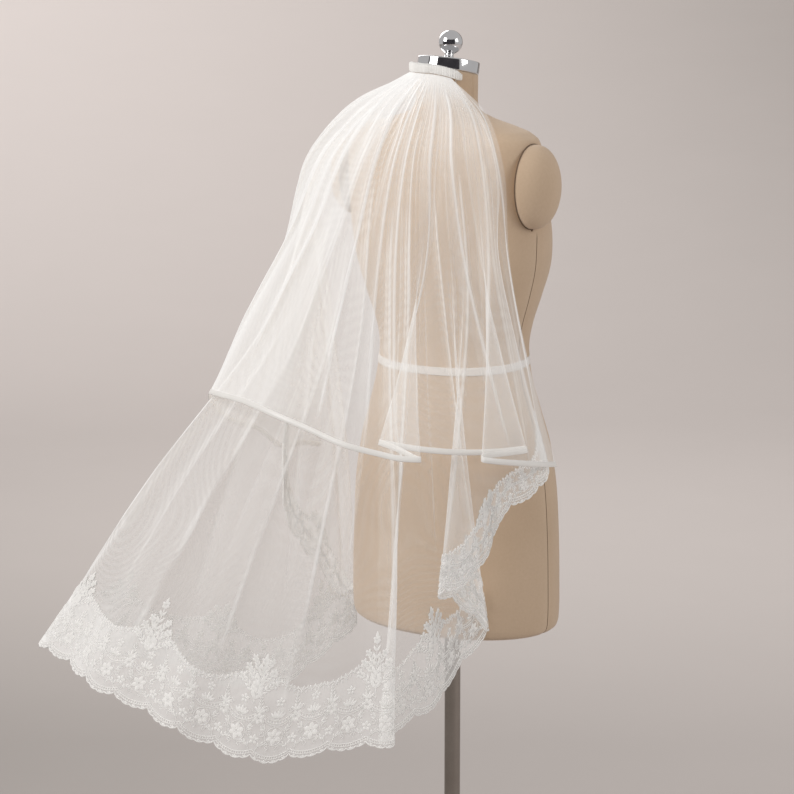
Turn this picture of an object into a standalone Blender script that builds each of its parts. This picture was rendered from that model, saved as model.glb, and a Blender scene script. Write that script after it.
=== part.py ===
"""A two-tier bridal veil on a limbless dress form with a pole and a round base.

Metres, +Z up. The origin is the centre of the base's underside. The form faces +Y, so the back of
the veil faces -Y, and the form's right side is +X. A bearing is an angle in plan about the neck:
0 points straight back (-Y), +90 to the form's right and -90 to its left.
"""
import math
from collections import namedtuple

import bpy
import numpy as np

COLLECTION = "bridal_veil"

# Seams and walls
GAP = 0.0003
LACE_GAP = 0.0006
TULLE_WALL = 0.0010
LACE_WALL = 0.0010
RIBBON_WALL = 0.0010
TAPE_WALL = 0.0010

# The neck that the veil hangs from
NECK_Y = -0.020
NECK_TILT = math.radians(11.0)
NECK_TOP = 1.4920
CAP_RADIUS = 0.0480
CAP_THICKNESS = 0.0190
BALL_RADIUS = 0.0185
STEM_RADIUS = 0.0070
STEM_LENGTH = 0.0090

# The stand
TORSO_BOTTOM = 0.635
BASE_RADIUS = 0.190
BASE_THICKNESS = 0.012
POLE_RADIUS = 0.0125

# Arm plates: each seat is a flat oval on the torso's side, and the cap is a low dome on it
ARM_X = 0.1605
ARM_Y = -0.028
ARM_Z = 1.329
ARM_HALF_DEPTH = 0.0475
ARM_HALF_HEIGHT = 0.0630
ARM_RIM = 0.006
ARM_DOME = 0.034
SEAT_MARGIN = 0.006
SEAT_CUT = 0.080

# The waist tape's plane rises a little toward the front
TAPE_Z = 1.052
TAPE_WIDTH = 0.012
TAPE_TILT = math.radians(3.7)
TAPE_MIDDLE_Y = 0.004

# The comb and the gathered heading at the nape
HEADING_BEARING = 58.0
HEADING_HEIGHT = 0.0150
HEADING_Z = 1.4935
HEADING_DIP = 0.0125
HEADING_INNER = 0.0503
HEADING_OUTER = 0.0582
LOWER_HEADING = 0.0527
UPPER_HEADING = 0.0559
COMB_RADIUS = 0.0486
COMB_WIRE = 0.0012
COMB_RISE = 0.0020
COMB_TEETH = 11
TOOTH_WIRE = 0.0007
TOOTH_LENGTH = 0.029

# Cloth that hangs: drops are measured down from this height, reaches out from the neck's axis
DROP_FROM = 1.4920
GATHER = 0.0019
GATHER_DEPTH = 0.055
GATHER_LIMIT = 0.5
FLUTE = 0.0065
FLUTE_REACH = 0.26
LOWER_SAG = 0.150
UPPER_SAG = 0.040
TIER_LIFT = 0.0120
UPPER_COLUMNS = 4
LOWER_COLUMNS = 3
UPPER_STOPS = (0.0, 0.05, 0.11, 0.19, 0.30, 0.48, 0.73, 1.0)
LOWER_STOPS = (0.0, 0.035, 0.08, 0.14, 0.24, 0.40, 0.58, 0.75, 0.88, 1.0)

# Edges sewn on the hems
RIBBON_WIDTH = 0.008
SCALLOP_PITCH = 0.058
SCALLOP_DEPTH = 0.009
LACE_PEAK_PITCH = 0.200
LACE_PEAK = 0.28
LACE_COLUMNS = 6
LACE_ROWS = 2

# Form sections from the bottom up. Depths run from the section's own centre.
Section = namedtuple("Section", "height half_width back front centre_y squareness tilt")
TORSO_SECTIONS = [
    Section(0.6350, 0.1640, 0.1170, 0.1120, 0.008, 2.1, 0.0),
    Section(0.6400, 0.1705, 0.1235, 0.1180, 0.008, 2.1, 0.0),
    Section(0.6500, 0.1735, 0.1260, 0.1210, 0.008, 2.1, 0.0),
    Section(0.7200, 0.1740, 0.1270, 0.1220, 0.008, 2.1, 0.0),
    Section(0.8000, 0.1715, 0.1260, 0.1215, 0.008, 2.1, 0.0),
    Section(0.8670, 0.1670, 0.1230, 0.1190, 0.007, 2.1, 0.0),
    Section(0.9290, 0.1560, 0.1160, 0.1130, 0.006, 2.1, 0.0),
    Section(0.9750, 0.1420, 0.1080, 0.1050, 0.004, 2.1, 0.0),
    Section(1.0300, 0.1270, 0.0970, 0.0970, 0.001, 2.1, 0.0),
    Section(1.0760, 0.1225, 0.0920, 0.0960, 0.000, 2.1, 0.0),
    Section(1.1100, 0.1285, 0.0920, 0.1010, -0.002, 2.15, 0.0),
    Section(1.1500, 0.1420, 0.0950, 0.1120, -0.005, 2.2, 0.0),
    Section(1.2000, 0.1560, 0.1000, 0.1250, -0.008, 2.3, 0.0),
    Section(1.2400, 0.1605, 0.1010, 0.1220, -0.011, 2.4, 0.0),
    Section(1.2900, 0.1635, 0.0970, 0.1040, -0.016, 2.5, 0.0),
    Section(1.3400, 0.1650, 0.0890, 0.0880, -0.020, 2.6, 0.0),
    Section(1.3800, 0.1645, 0.0790, 0.0740, -0.025, 2.6, 0.0),
    Section(1.3980, 0.1600, 0.0720, 0.0670, -0.027, 2.5, 0.0),
    Section(1.4080, 0.1450, 0.0670, 0.0630, -0.027, 2.4, 0.0),
    Section(1.4160, 0.1180, 0.0630, 0.0600, -0.026, 2.2, 0.0),
    Section(1.4230, 0.0900, 0.0590, 0.0560, -0.025, 2.0, 0.0),
    Section(1.4300, 0.0660, 0.0550, 0.0520, -0.024, 2.0, 0.0),
    Section(1.4380, 0.0520, 0.0500, 0.0490, -0.022, 2.0, 2.0),
    Section(1.4500, 0.0470, 0.0470, 0.0470, -0.020, 2.0, 5.0),
    Section(1.4720, 0.0470, 0.0470, 0.0470, -0.020, 2.0, 8.0),
    Section(1.4920, 0.0470, 0.0470, 0.0470, -0.020, 2.0, 11.0),
]
TORSO_SIDES = 28

# Rings that both tiers pass through below the heading: over the shoulders, then clear of the back
RingRow = namedtuple("RingRow", "bearing reach drop")
SHOULDER_RING = [
    RingRow(-90.0, 0.176, 0.079),
    RingRow(-66.0, 0.146, 0.072),
    RingRow(-50.0, 0.116, 0.060),
    RingRow(-25.0, 0.102, 0.054),
    RingRow(0.0, 0.097, 0.057),
    RingRow(20.0, 0.096, 0.056),
    RingRow(45.0, 0.100, 0.057),
    RingRow(65.0, 0.112, 0.062),
]
YOKE_RING = [
    RingRow(-90.0, 0.224, 0.155),
    RingRow(-66.0, 0.207, 0.147),
    RingRow(-50.0, 0.182, 0.130),
    RingRow(-25.0, 0.156, 0.122),
    RingRow(0.0, 0.145, 0.128),
    RingRow(20.0, 0.146, 0.128),
    RingRow(45.0, 0.153, 0.129),
    RingRow(65.0, 0.166, 0.134),
]

# Hems from the right free edge to the left one, a row for each crest, turn and side of a fold.
# yoke is the bearing at which the row's thread leaves the yoke ring.
HemRow = namedtuple("HemRow", "yoke bearing reach drop lace")
UPPER_HEM = [
    HemRow(63.0, 89.5, 0.205, 0.584, 0.0),
    HemRow(58.5, 68.0, 0.245, 0.566, 0.0),
    HemRow(54.5, 46.5, 0.277, 0.546, 0.0),
    HemRow(51.0, 47.5, 0.255, 0.546, 0.0),
    HemRow(47.5, 60.5, 0.230, 0.548, 0.0),
    HemRow(44.5, 68.0, 0.221, 0.549, 0.0),
    HemRow(41.5, 70.0, 0.207, 0.550, 0.0),
    HemRow(38.5, 59.0, 0.207, 0.550, 0.0),
    HemRow(35.5, 41.0, 0.220, 0.546, 0.0),
    HemRow(32.5, 25.0, 0.224, 0.541, 0.0),
    HemRow(29.5, 10.0, 0.233, 0.533, 0.0),
    HemRow(26.5, 11.5, 0.240, 0.532, 0.0),
    HemRow(23.5, 19.0, 0.262, 0.534, 0.0),
    HemRow(20.5, 26.5, 0.284, 0.543, 0.0),
    HemRow(17.5, 28.0, 0.293, 0.542, 0.0),
    HemRow(14.5, 22.0, 0.301, 0.540, 0.0),
    HemRow(10.0, 14.5, 0.304, 0.533, 0.0),
    HemRow(3.0, 5.5, 0.316, 0.521, 0.0),
    HemRow(-7.0, -6.0, 0.328, 0.500, 0.0),
    HemRow(-18.0, -18.0, 0.345, 0.482, 0.0),
    HemRow(-29.0, -30.0, 0.358, 0.476, 0.0),
    HemRow(-40.0, -40.5, 0.370, 0.479, 0.0),
    HemRow(-50.0, -51.0, 0.366, 0.500, 0.0),
    HemRow(-59.0, -63.0, 0.343, 0.548, 0.0),
    HemRow(-67.0, -74.5, 0.316, 0.575, 0.0),
    HemRow(-74.0, -85.0, 0.304, 0.612, 0.0),
    HemRow(-80.5, -92.5, 0.294, 0.612, 0.0),
    HemRow(-86.5, -99.0, 0.284, 0.618, 0.0),
]
LOWER_HEM = [
    HemRow(63.0, 91.0, 0.180, 0.565, 0.045),
    HemRow(60.0, 88.0, 0.190, 0.588, 0.045),
    HemRow(57.0, 81.0, 0.192, 0.610, 0.045),
    HemRow(53.5, 69.5, 0.191, 0.624, 0.048),
    HemRow(50.0, 59.5, 0.196, 0.645, 0.050),
    HemRow(46.5, 52.5, 0.208, 0.694, 0.055),
    HemRow(43.5, 41.5, 0.229, 0.733, 0.060),
    HemRow(40.0, 33.0, 0.243, 0.747, 0.060),
    HemRow(37.5, 37.0, 0.208, 0.759, 0.060),
    HemRow(34.5, 46.0, 0.182, 0.788, 0.065),
    HemRow(31.5, 56.5, 0.164, 0.819, 0.070),
    HemRow(28.5, 60.5, 0.149, 0.833, 0.075),
    HemRow(26.0, 54.0, 0.143, 0.853, 0.080),
    HemRow(23.5, 42.0, 0.151, 0.885, 0.085),
    HemRow(21.0, 30.0, 0.174, 0.934, 0.095),
    HemRow(18.5, 18.5, 0.207, 0.956, 0.100),
    HemRow(16.0, 12.0, 0.244, 0.975, 0.100),
    HemRow(13.5, 12.5, 0.255, 0.973, 0.100),
    HemRow(11.0, 16.0, 0.268, 0.971, 0.100),
    HemRow(8.5, 19.3, 0.281, 0.966, 0.100),
    HemRow(6.0, 20.0, 0.294, 0.964, 0.100),
    HemRow(3.5, 15.5, 0.306, 0.964, 0.100),
    HemRow(0.0, 9.0, 0.318, 0.967, 0.105),
    HemRow(-4.5, 2.0, 0.351, 0.974, 0.110),
    HemRow(-9.5, -5.5, 0.392, 0.985, 0.110),
    HemRow(-15.0, -11.5, 0.435, 0.973, 0.105),
    HemRow(-20.5, -16.5, 0.471, 0.952, 0.100),
    HemRow(-26.5, -21.0, 0.507, 0.928, 0.100),
    HemRow(-32.5, -27.5, 0.545, 0.905, 0.095),
    HemRow(-38.5, -35.0, 0.584, 0.880, 0.095),
    HemRow(-44.5, -42.0, 0.610, 0.867, 0.090),
    HemRow(-50.0, -48.0, 0.622, 0.864, 0.090),
    HemRow(-54.5, -54.5, 0.605, 0.883, 0.090),
    HemRow(-58.0, -60.0, 0.551, 0.915, 0.090),
    HemRow(-61.0, -65.5, 0.482, 0.942, 0.090),
    HemRow(-63.5, -70.5, 0.412, 0.974, 0.090),
    HemRow(-66.0, -77.0, 0.341, 0.998, 0.090),
    HemRow(-68.5, -82.0, 0.283, 0.984, 0.085),
    HemRow(-70.5, -88.0, 0.250, 0.952, 0.080),
    HemRow(-72.5, -95.0, 0.224, 0.921, 0.070),
    HemRow(-74.5, -102.0, 0.214, 0.898, 0.065),
    HemRow(-76.5, -104.0, 0.230, 0.890, 0.060),
    HemRow(-78.0, -99.0, 0.249, 0.851, 0.060),
    HemRow(-79.5, -92.0, 0.267, 0.792, 0.055),
    HemRow(-81.0, -87.0, 0.277, 0.762, 0.050),
    HemRow(-82.5, -82.0, 0.284, 0.720, 0.048),
    HemRow(-84.0, -78.0, 0.281, 0.673, 0.045),
    HemRow(-86.0, -75.0, 0.275, 0.596, 0.045),
]

# How far each thread has come at two places between the yoke ring and the hem. A fold first grows
# outward and only then turns aside, so its layers stay apart where it begins.
FallStage = namedtuple("FallStage", "fallen fold_out fold_aside sag")
FALL_STAGES = [
    FallStage(0.30, 0.38, 0.15, 1.0),
    FallStage(0.65, 0.76, 0.55, 0.6),
]

# Finishes: colour, roughness, metallic
FINISHES = {
    "tulle": ((0.86, 0.84, 0.80, 1.0), 0.70, 0.0),
    "lace": ((0.90, 0.88, 0.83, 1.0), 0.65, 0.0),
    "ribbon": ((0.93, 0.91, 0.87, 1.0), 0.35, 0.0),
    "binding": ((0.92, 0.90, 0.86, 1.0), 0.60, 0.0),
    "comb_metal": ((0.80, 0.80, 0.79, 1.0), 0.30, 1.0),
    "linen": ((0.58, 0.48, 0.37, 1.0), 0.90, 0.0),
    "tape": ((0.64, 0.56, 0.45, 1.0), 0.75, 0.0),
    "chrome": ((0.82, 0.82, 0.83, 1.0), 0.12, 1.0),
}


def clear_scene():
    for item in list(bpy.data.objects):
        bpy.data.objects.remove(item, do_unlink=True)


def make_collection():
    collection = bpy.data.collections.new(COLLECTION)
    bpy.context.scene.collection.children.link(collection)
    return collection


def finish(name):
    """The material of that name, made once."""
    material = bpy.data.materials.get(name)
    if material is None:
        colour, roughness, metallic = FINISHES[name]
        material = bpy.data.materials.new(name)
        material.use_nodes = True
        shader = material.node_tree.nodes["Principled BSDF"]
        shader.inputs["Base Color"].default_value = colour
        shader.inputs["Roughness"].default_value = roughness
        shader.inputs["Metallic"].default_value = metallic
        material.diffuse_color = colour
    return material


def add_object(collection, name, data, finish_name):
    item = bpy.data.objects.new(name, data)
    data.materials.append(finish(finish_name))
    collection.objects.link(item)
    return item


def loft(name, rings, closed, capped, looped=False):
    """A mesh through rows of points: rings is rows x columns x 3. An open one is in triangles.

    closed joins the last column to the first, capped fills both ends, and looped joins the last row
    to the first.
    """
    rows, columns = rings.shape[:2]
    faces = []
    for row in range(rows if looped else rows - 1):
        for column in range(columns if closed else columns - 1):
            beside = (column + 1) % columns
            here = row * columns
            above = (row + 1) % rows * columns
            corners = (here + column, here + beside, above + beside, above + column)
            if closed:
                faces.append(corners)
            else:
                faces.append((corners[0], corners[1], corners[2]))
                faces.append((corners[0], corners[2], corners[3]))
    if capped:
        faces.append(tuple(reversed(range(columns))))
        faces.append(tuple(range((rows - 1) * columns, rows * columns)))
    mesh = bpy.data.meshes.new(name)
    mesh.from_pydata(rings.reshape(-1, 3).tolist(), [], faces)
    mesh.update()
    return mesh


def add_cloth(collection, name, rings, wall, finish_name):
    """An open sheet through the rings, given its wall by Solidify."""
    item = add_object(collection, name, loft(name, rings, False, False), finish_name)
    solidify = item.modifiers.new("wall", "SOLIDIFY")
    solidify.thickness = wall
    solidify.offset = 0.0
    return item


def add_turned(collection, name, profile, steps, finish_name):
    """A solid of revolution about the object's own Z, from (radius, height) points."""
    mesh = bpy.data.meshes.new(name)
    points = [(radius, 0.0, height) for radius, height in profile]
    edges = [(index, index + 1) for index in range(len(points) - 1)]
    mesh.from_pydata(points, edges, [])
    item = add_object(collection, name, mesh, finish_name)
    screw = item.modifiers.new("turn", "SCREW")
    screw.steps = steps
    screw.render_steps = steps
    screw.use_merge_vertices = True
    screw.merge_threshold = 0.00001
    screw.use_normal_flip = True
    return item


def section_ring(section, sides):
    """Points round one form section, from the right side by the front to the left and back."""
    angles = np.arange(sides) * 2.0 * math.pi / sides
    power = 2.0 / section.squareness
    across = section.half_width * np.sign(np.cos(angles)) * np.abs(np.cos(angles)) ** power
    depth = np.where(np.sin(angles) > 0.0, section.front, section.back)
    forward = depth * np.sign(np.sin(angles)) * np.abs(np.sin(angles)) ** power
    rise = -forward * math.tan(math.radians(section.tilt))
    return np.stack([across, forward + section.centre_y, rise + section.height], axis=-1)


def torso_rings():
    return np.array([section_ring(section, TORSO_SIDES) for section in TORSO_SECTIONS])


def build_torso(collection):
    """The padded body and neck, with a flat oval seat cut on each side for the arm plates."""
    torso = add_object(collection, "torso", loft("torso", torso_rings(), True, True), "linen")
    for name, side in (("seat_right", 1.0), ("seat_left", -1.0)):
        bpy.ops.mesh.primitive_cylinder_add(
            vertices=48,
            radius=1.0,
            depth=SEAT_CUT,
            location=(side * (ARM_X + SEAT_CUT / 2.0), ARM_Y, ARM_Z),
            rotation=(0.0, math.pi / 2.0, 0.0),
        )
        cutter = bpy.context.object
        cutter.name = name
        cutter.scale = (ARM_HALF_HEIGHT + SEAT_MARGIN, ARM_HALF_DEPTH + SEAT_MARGIN, 1.0)
        cutter.hide_render = True
        cutter.display_type = "WIRE"
        cut = torso.modifiers.new(name, "BOOLEAN")
        cut.operation = "DIFFERENCE"
        cut.solver = "EXACT"
        cut.object = cutter


def build_arm_plates(collection):
    """Two low domes on a straight rim, turned round and then stretched to the plate's oval."""
    turns = 5
    dome = [
        (math.cos(step * math.pi / 2.0 / turns), math.sin(step * math.pi / 2.0 / turns))
        for step in range(turns + 1)
    ]
    profile = [(0.0, 0.0), (ARM_HALF_DEPTH, 0.0)]
    profile += [(ARM_HALF_DEPTH * out, ARM_RIM + ARM_DOME * up) for out, up in dome]
    profile[-1] = (0.0, ARM_RIM + ARM_DOME)
    for name, side in (("arm_plate_right", 1.0), ("arm_plate_left", -1.0)):
        plate = add_turned(collection, name, profile, 24, "linen")
        plate.location = (side * (ARM_X + GAP), ARM_Y, ARM_Z)
        plate.rotation_euler = (0.0, side * math.pi / 2.0, 0.0)
        plate.scale = (ARM_HALF_HEIGHT / ARM_HALF_DEPTH, 1.0, 1.0)


def torso_at(height_of):
    """Points on the torso's faces, one for each side column, at the height that column asks for."""
    rings = torso_rings()
    points = []
    for column in range(TORSO_SIDES):
        line = rings[:, column]
        height = height_of(line[:, 1], line[:, 2])
        points.append([np.interp(height, line[:, 2], line[:, axis]) for axis in range(3)])
    return np.array(points)


def build_waist_tape(collection):
    """A flat tape round the waist, on the torso's own facets, moved out by the gap."""
    def plane(offset):
        return lambda y, z: TAPE_Z + offset + np.interp(TAPE_Z, z, y) * math.tan(TAPE_TILT)

    bottom = torso_at(plane(-TAPE_WIDTH / 2.0))
    top = torso_at(plane(TAPE_WIDTH / 2.0))

    def pushed_out(points, distance):
        outward = points - np.array([0.0, TAPE_MIDDLE_Y, 0.0])
        outward[:, 2] = 0.0
        outward /= np.linalg.norm(outward, axis=1)[:, None]
        return points + outward * distance

    inner = 2.0 * GAP
    outer = inner + TAPE_WALL
    rings = np.array([
        pushed_out(bottom, inner),
        pushed_out(bottom, outer),
        pushed_out(top, outer),
        pushed_out(top, inner),
    ])
    mesh = loft("waist_tape", rings, True, False, looped=True)
    add_object(collection, "waist_tape", mesh, "tape")


def build_neck_cap(collection):
    """The chrome cap on the tilted neck, and the stem and ball above it."""
    edge = 0.003
    cap = [
        (0.0, 0.0),
        (CAP_RADIUS - edge, 0.0),
        (CAP_RADIUS, edge),
        (CAP_RADIUS, CAP_THICKNESS - edge),
        (CAP_RADIUS - edge, CAP_THICKNESS),
        (0.0, CAP_THICKNESS),
    ]
    plate = add_turned(collection, "neck_cap", cap, 32, "chrome")
    plate.location = (0.0, NECK_Y, NECK_TOP + GAP)
    plate.rotation_euler = (-NECK_TILT, 0.0, 0.0)

    steps = 7
    start = math.asin(STEM_RADIUS / BALL_RADIUS)
    ball_centre = STEM_LENGTH + BALL_RADIUS * math.cos(start)
    finial = [(0.0, 0.0), (STEM_RADIUS, 0.0)]
    for step in range(steps + 1):
        angle = start + (math.pi - start) * step / steps
        finial.append((BALL_RADIUS * math.sin(angle), ball_centre - BALL_RADIUS * math.cos(angle)))
    finial[-1] = (0.0, ball_centre + BALL_RADIUS)
    ball = add_turned(collection, "finial", finial, 18, "chrome")
    lift = CAP_THICKNESS + 2.0 * GAP
    ball.location = (
        0.0,
        NECK_Y + lift * math.sin(NECK_TILT),
        NECK_TOP + lift * math.cos(NECK_TILT),
    )
    ball.rotation_euler = (-NECK_TILT, 0.0, 0.0)


def build_stand(collection):
    """The pole under the torso and the round base that the whole thing stands on."""
    edge = 0.004
    base = [
        (0.0, 0.0),
        (BASE_RADIUS, 0.0),
        (BASE_RADIUS, BASE_THICKNESS - edge),
        (BASE_RADIUS - edge, BASE_THICKNESS),
        (0.0, BASE_THICKNESS),
    ]
    add_turned(collection, "base", base, 48, "chrome")
    bottom = BASE_THICKNESS + GAP
    top = TORSO_BOTTOM - GAP
    pole = [(0.0, bottom), (POLE_RADIUS, bottom), (POLE_RADIUS, top), (0.0, top)]
    add_turned(collection, "pole", pole, 16, "chrome")


def from_neck(bearing, reach, drop):
    """The world point at a bearing, a reach out from the neck's axis and a drop."""
    angle = np.radians(bearing)
    return np.stack(
        [reach * np.sin(angle), NECK_Y - reach * np.cos(angle), DROP_FROM - drop + 0.0 * angle],
        axis=-1,
    )


def smooth_between(values, knots, heights):
    """A smooth curve through (knot, height) pairs, read at the values."""
    knots = np.asarray(knots, float)
    heights = np.asarray(heights, float)
    slopes = np.gradient(heights, knots)
    span = np.clip(np.searchsorted(knots, values) - 1, 0, len(knots) - 2)
    width = knots[span + 1] - knots[span]
    t = (values - knots[span]) / width
    return (
        heights[span] * (1 + 2 * t) * (1 - t) ** 2
        + slopes[span] * width * t * (1 - t) ** 2
        + heights[span + 1] * t * t * (3 - 2 * t)
        + slopes[span + 1] * width * t * t * (t - 1)
    )


def through(points, stops):
    """A centripetal curve through the points, read at stops from 0 to len(points) - 1."""
    points = np.asarray(points, float)
    ends = np.concatenate([[2 * points[0] - points[1]], points, [2 * points[-1] - points[-2]]])
    steps = np.sqrt(np.linalg.norm(np.diff(ends[:, :3], axis=0), axis=1)) + 1e-6
    time = np.concatenate([[0.0], np.cumsum(steps)])
    span = np.clip(np.floor(stops).astype(int), 0, len(points) - 2)
    t0, t1, t2, t3 = (time[span + shift][:, None] for shift in range(4))
    p0, p1, p2, p3 = (ends[span + shift] for shift in range(4))
    t = t1 + (stops - span)[:, None] * (t2 - t1)
    a1 = (t1 - t) / (t1 - t0) * p0 + (t - t0) / (t1 - t0) * p1
    a2 = (t2 - t) / (t2 - t1) * p1 + (t - t1) / (t2 - t1) * p2
    a3 = (t3 - t) / (t3 - t2) * p2 + (t - t2) / (t3 - t2) * p3
    b1 = (t2 - t) / (t2 - t0) * a1 + (t - t0) / (t2 - t0) * a2
    b2 = (t3 - t) / (t3 - t1) * a2 + (t - t1) / (t3 - t1) * a3
    return (t2 - t) / (t2 - t1) * b1 + (t - t1) / (t2 - t1) * b2


def heading_height(bearing):
    """The heading's underside: level at the back, lower toward the right end."""
    return HEADING_Z - HEADING_DIP * np.clip(bearing / HEADING_BEARING, 0.0, 1.0) ** 2


def unit(vectors):
    return vectors / np.maximum(np.linalg.norm(vectors, axis=-1, keepdims=True), 1e-9)


def grid_normals(grid):
    """Outward unit normals of a grid whose rows run down and columns run right to left."""
    down = np.gradient(grid, axis=0)
    along = np.gradient(grid, axis=1)
    return unit(np.cross(along, down))


def fold_trend(hem_points, stops):
    """The hem without its folds: a smooth curve of the fourth degree fitted to it."""
    fits = [np.polyfit(stops / stops[-1], hem_points[:, axis], 4) for axis in range(3)]
    return np.stack([np.polyval(fit, stops / stops[-1]) for fit in fits], axis=-1)


def tier_grid(hem, heading_radius, lift, sag, span_columns, warp_stops):
    """A tier's middle surface: rows run from the heading to the hem, columns from right to left."""
    table = np.array(hem)
    spans = len(hem) - 1
    stops = np.linspace(0.0, spans, spans * span_columns + 1)
    hem_points = through(from_neck(table[:, 1], table[:, 2], table[:, 3]), stops)
    yoke = np.interp(stops, np.arange(spans + 1), table[:, 0])
    heading = yoke * HEADING_BEARING / np.abs(table[[0, -1], 0]).max()

    hem_normal = unit(np.cross([0.0, 0.0, 1.0], np.gradient(hem_points, axis=0)))
    reach = np.linalg.norm(hem_points[:, :2] - [0.0, NECK_Y], axis=1)
    flute = FLUTE * np.clip((reach - FLUTE_REACH) / FLUTE_REACH, 0.0, 1.0)
    hem_points += hem_normal * (flute * np.sin(math.pi * stops))[:, None]

    tops = from_neck(heading, heading_radius, 0.0)
    tops[:, 2] = heading_height(heading) - GAP - TULLE_WALL / 2.0
    rings = []
    for ring in (SHOULDER_RING, YOKE_RING):
        columns = np.array(ring)
        out = smooth_between(yoke, columns[:, 0], columns[:, 1]) + lift
        drop = smooth_between(yoke, columns[:, 0], columns[:, 2]) - lift / 2.0
        rings.append(from_neck(yoke, out, drop))
    shoulders, yokes = rings

    spread = (reach - np.linalg.norm(yokes[:, :2] - [0.0, NECK_Y], axis=1)).clip(0.0)
    inward = unit((yokes - hem_points) * [1.0, 1.0, 0.0])
    trend = fold_trend(hem_points, stops)
    outward = unit((trend - [0.0, NECK_Y, 0.0]) * [1.0, 1.0, 0.0])
    fold = hem_points - trend
    fold_out = (fold * outward).sum(axis=1, keepdims=True) * outward
    fold_aside = fold - fold_out
    falling = []
    for stage in FALL_STAGES:
        line = yokes + (trend - yokes) * stage.fallen
        line += fold_out * stage.fold_out + fold_aside * stage.fold_aside
        falling.append(line + inward * (sag * stage.sag * spread)[:, None])

    grid = []
    for column in range(len(stops)):
        thread = [tops[column], shoulders[column], yokes[column]]
        thread += [line[column] for line in falling] + [hem_points[column]]
        fine = through(np.array(thread), np.linspace(0.0, len(thread) - 1.0, 101))
        length = np.concatenate([[0.0], np.cumsum(np.linalg.norm(np.diff(fine, axis=0), axis=1))])
        wanted = np.array(warp_stops) * length[-1]
        grid.append([[np.interp(far, length, fine[:, axis]) for axis in range(3)] for far in wanted])
    grid = np.array(grid).transpose(1, 0, 2)
    return gathered(grid, stops, span_columns)


def gathered(grid, stops, span_columns):
    """The grid with fine gathers: one wave to a hem row, strongest a little below the heading."""
    normal = grid_normals(grid)
    fallen = np.linalg.norm(grid - grid[0], axis=2) / GATHER_DEPTH
    strength = GATHER * (fallen * np.exp(1.0 - fallen)) ** 2
    pitch = np.linalg.norm(np.gradient(grid, axis=1), axis=2) * span_columns
    tightest = GATHER_LIMIT * (pitch / (2.0 * math.pi)) ** 2 / TULLE_WALL
    strength = np.minimum(strength, tightest)
    return grid + normal * (strength * np.cos(2.0 * math.pi * stops))[:, :, None]


def moved_out(grid):
    """At each grid point, the step that moves the facets on both sides of it out by one unit."""
    down = np.gradient(grid, axis=0)
    down = (down[:, 1:] + down[:, :-1]) / 2.0
    facet = unit(np.cross(np.diff(grid, axis=1), down))
    right = np.concatenate([facet[:, :1], facet], axis=1)
    left = np.concatenate([facet, facet[:, -1:]], axis=1)
    agreement = (right * left).sum(axis=2, keepdims=True)
    return (right + left) / (1.0 + np.maximum(agreement, -0.2))


def on_tier(field, column, down):
    """A field of the tier's grid, read at fractional column and row numbers."""
    low_c = np.clip(np.floor(column).astype(int), 0, field.shape[1] - 2)
    low_r = np.clip(np.floor(down).astype(int), 0, field.shape[0] - 2)
    c = (column - low_c)[:, None]
    r = (down - low_r)[:, None]
    across_first = (
        field[low_r, low_c] * (1 - c)
        + field[low_r, low_c + 1] * (c - r)
        + field[low_r + 1, low_c + 1] * r
    )
    down_first = (
        field[low_r, low_c] * (1 - r)
        + field[low_r + 1, low_c] * (r - c)
        + field[low_r + 1, low_c + 1] * c
    )
    return np.where(c > r, across_first, down_first)


def strip_on_tier(grid, columns, tops, bottoms, rows, distance):
    """A strip that lies on the tier between two heights above the hem, moved out by a distance."""
    last = grid.shape[0] - 1
    outward = moved_out(grid)
    whole = np.clip(np.round(columns).astype(int), 0, grid.shape[1] - 1)
    steps = np.linalg.norm(np.diff(grid, axis=0), axis=2)[:, whole]
    above_hem = np.concatenate([np.cumsum(steps[::-1], axis=0)[::-1], np.zeros((1, len(columns)))])
    rings = []
    for row in range(rows + 1):
        height = tops + (bottoms - tops) * row / rows
        down = np.array([
            np.interp(-height[index], -above_hem[:, index], np.arange(last + 1.0))
            for index in range(len(columns))
        ])
        fall = unit(grid[last, whole] - grid[last - 1, whole])
        beyond = np.maximum(-height, 0.0)[:, None]
        points = on_tier(grid, columns, down) + fall * beyond
        rings.append(points + on_tier(outward, columns, down) * distance)
    return np.array(rings)


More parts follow.
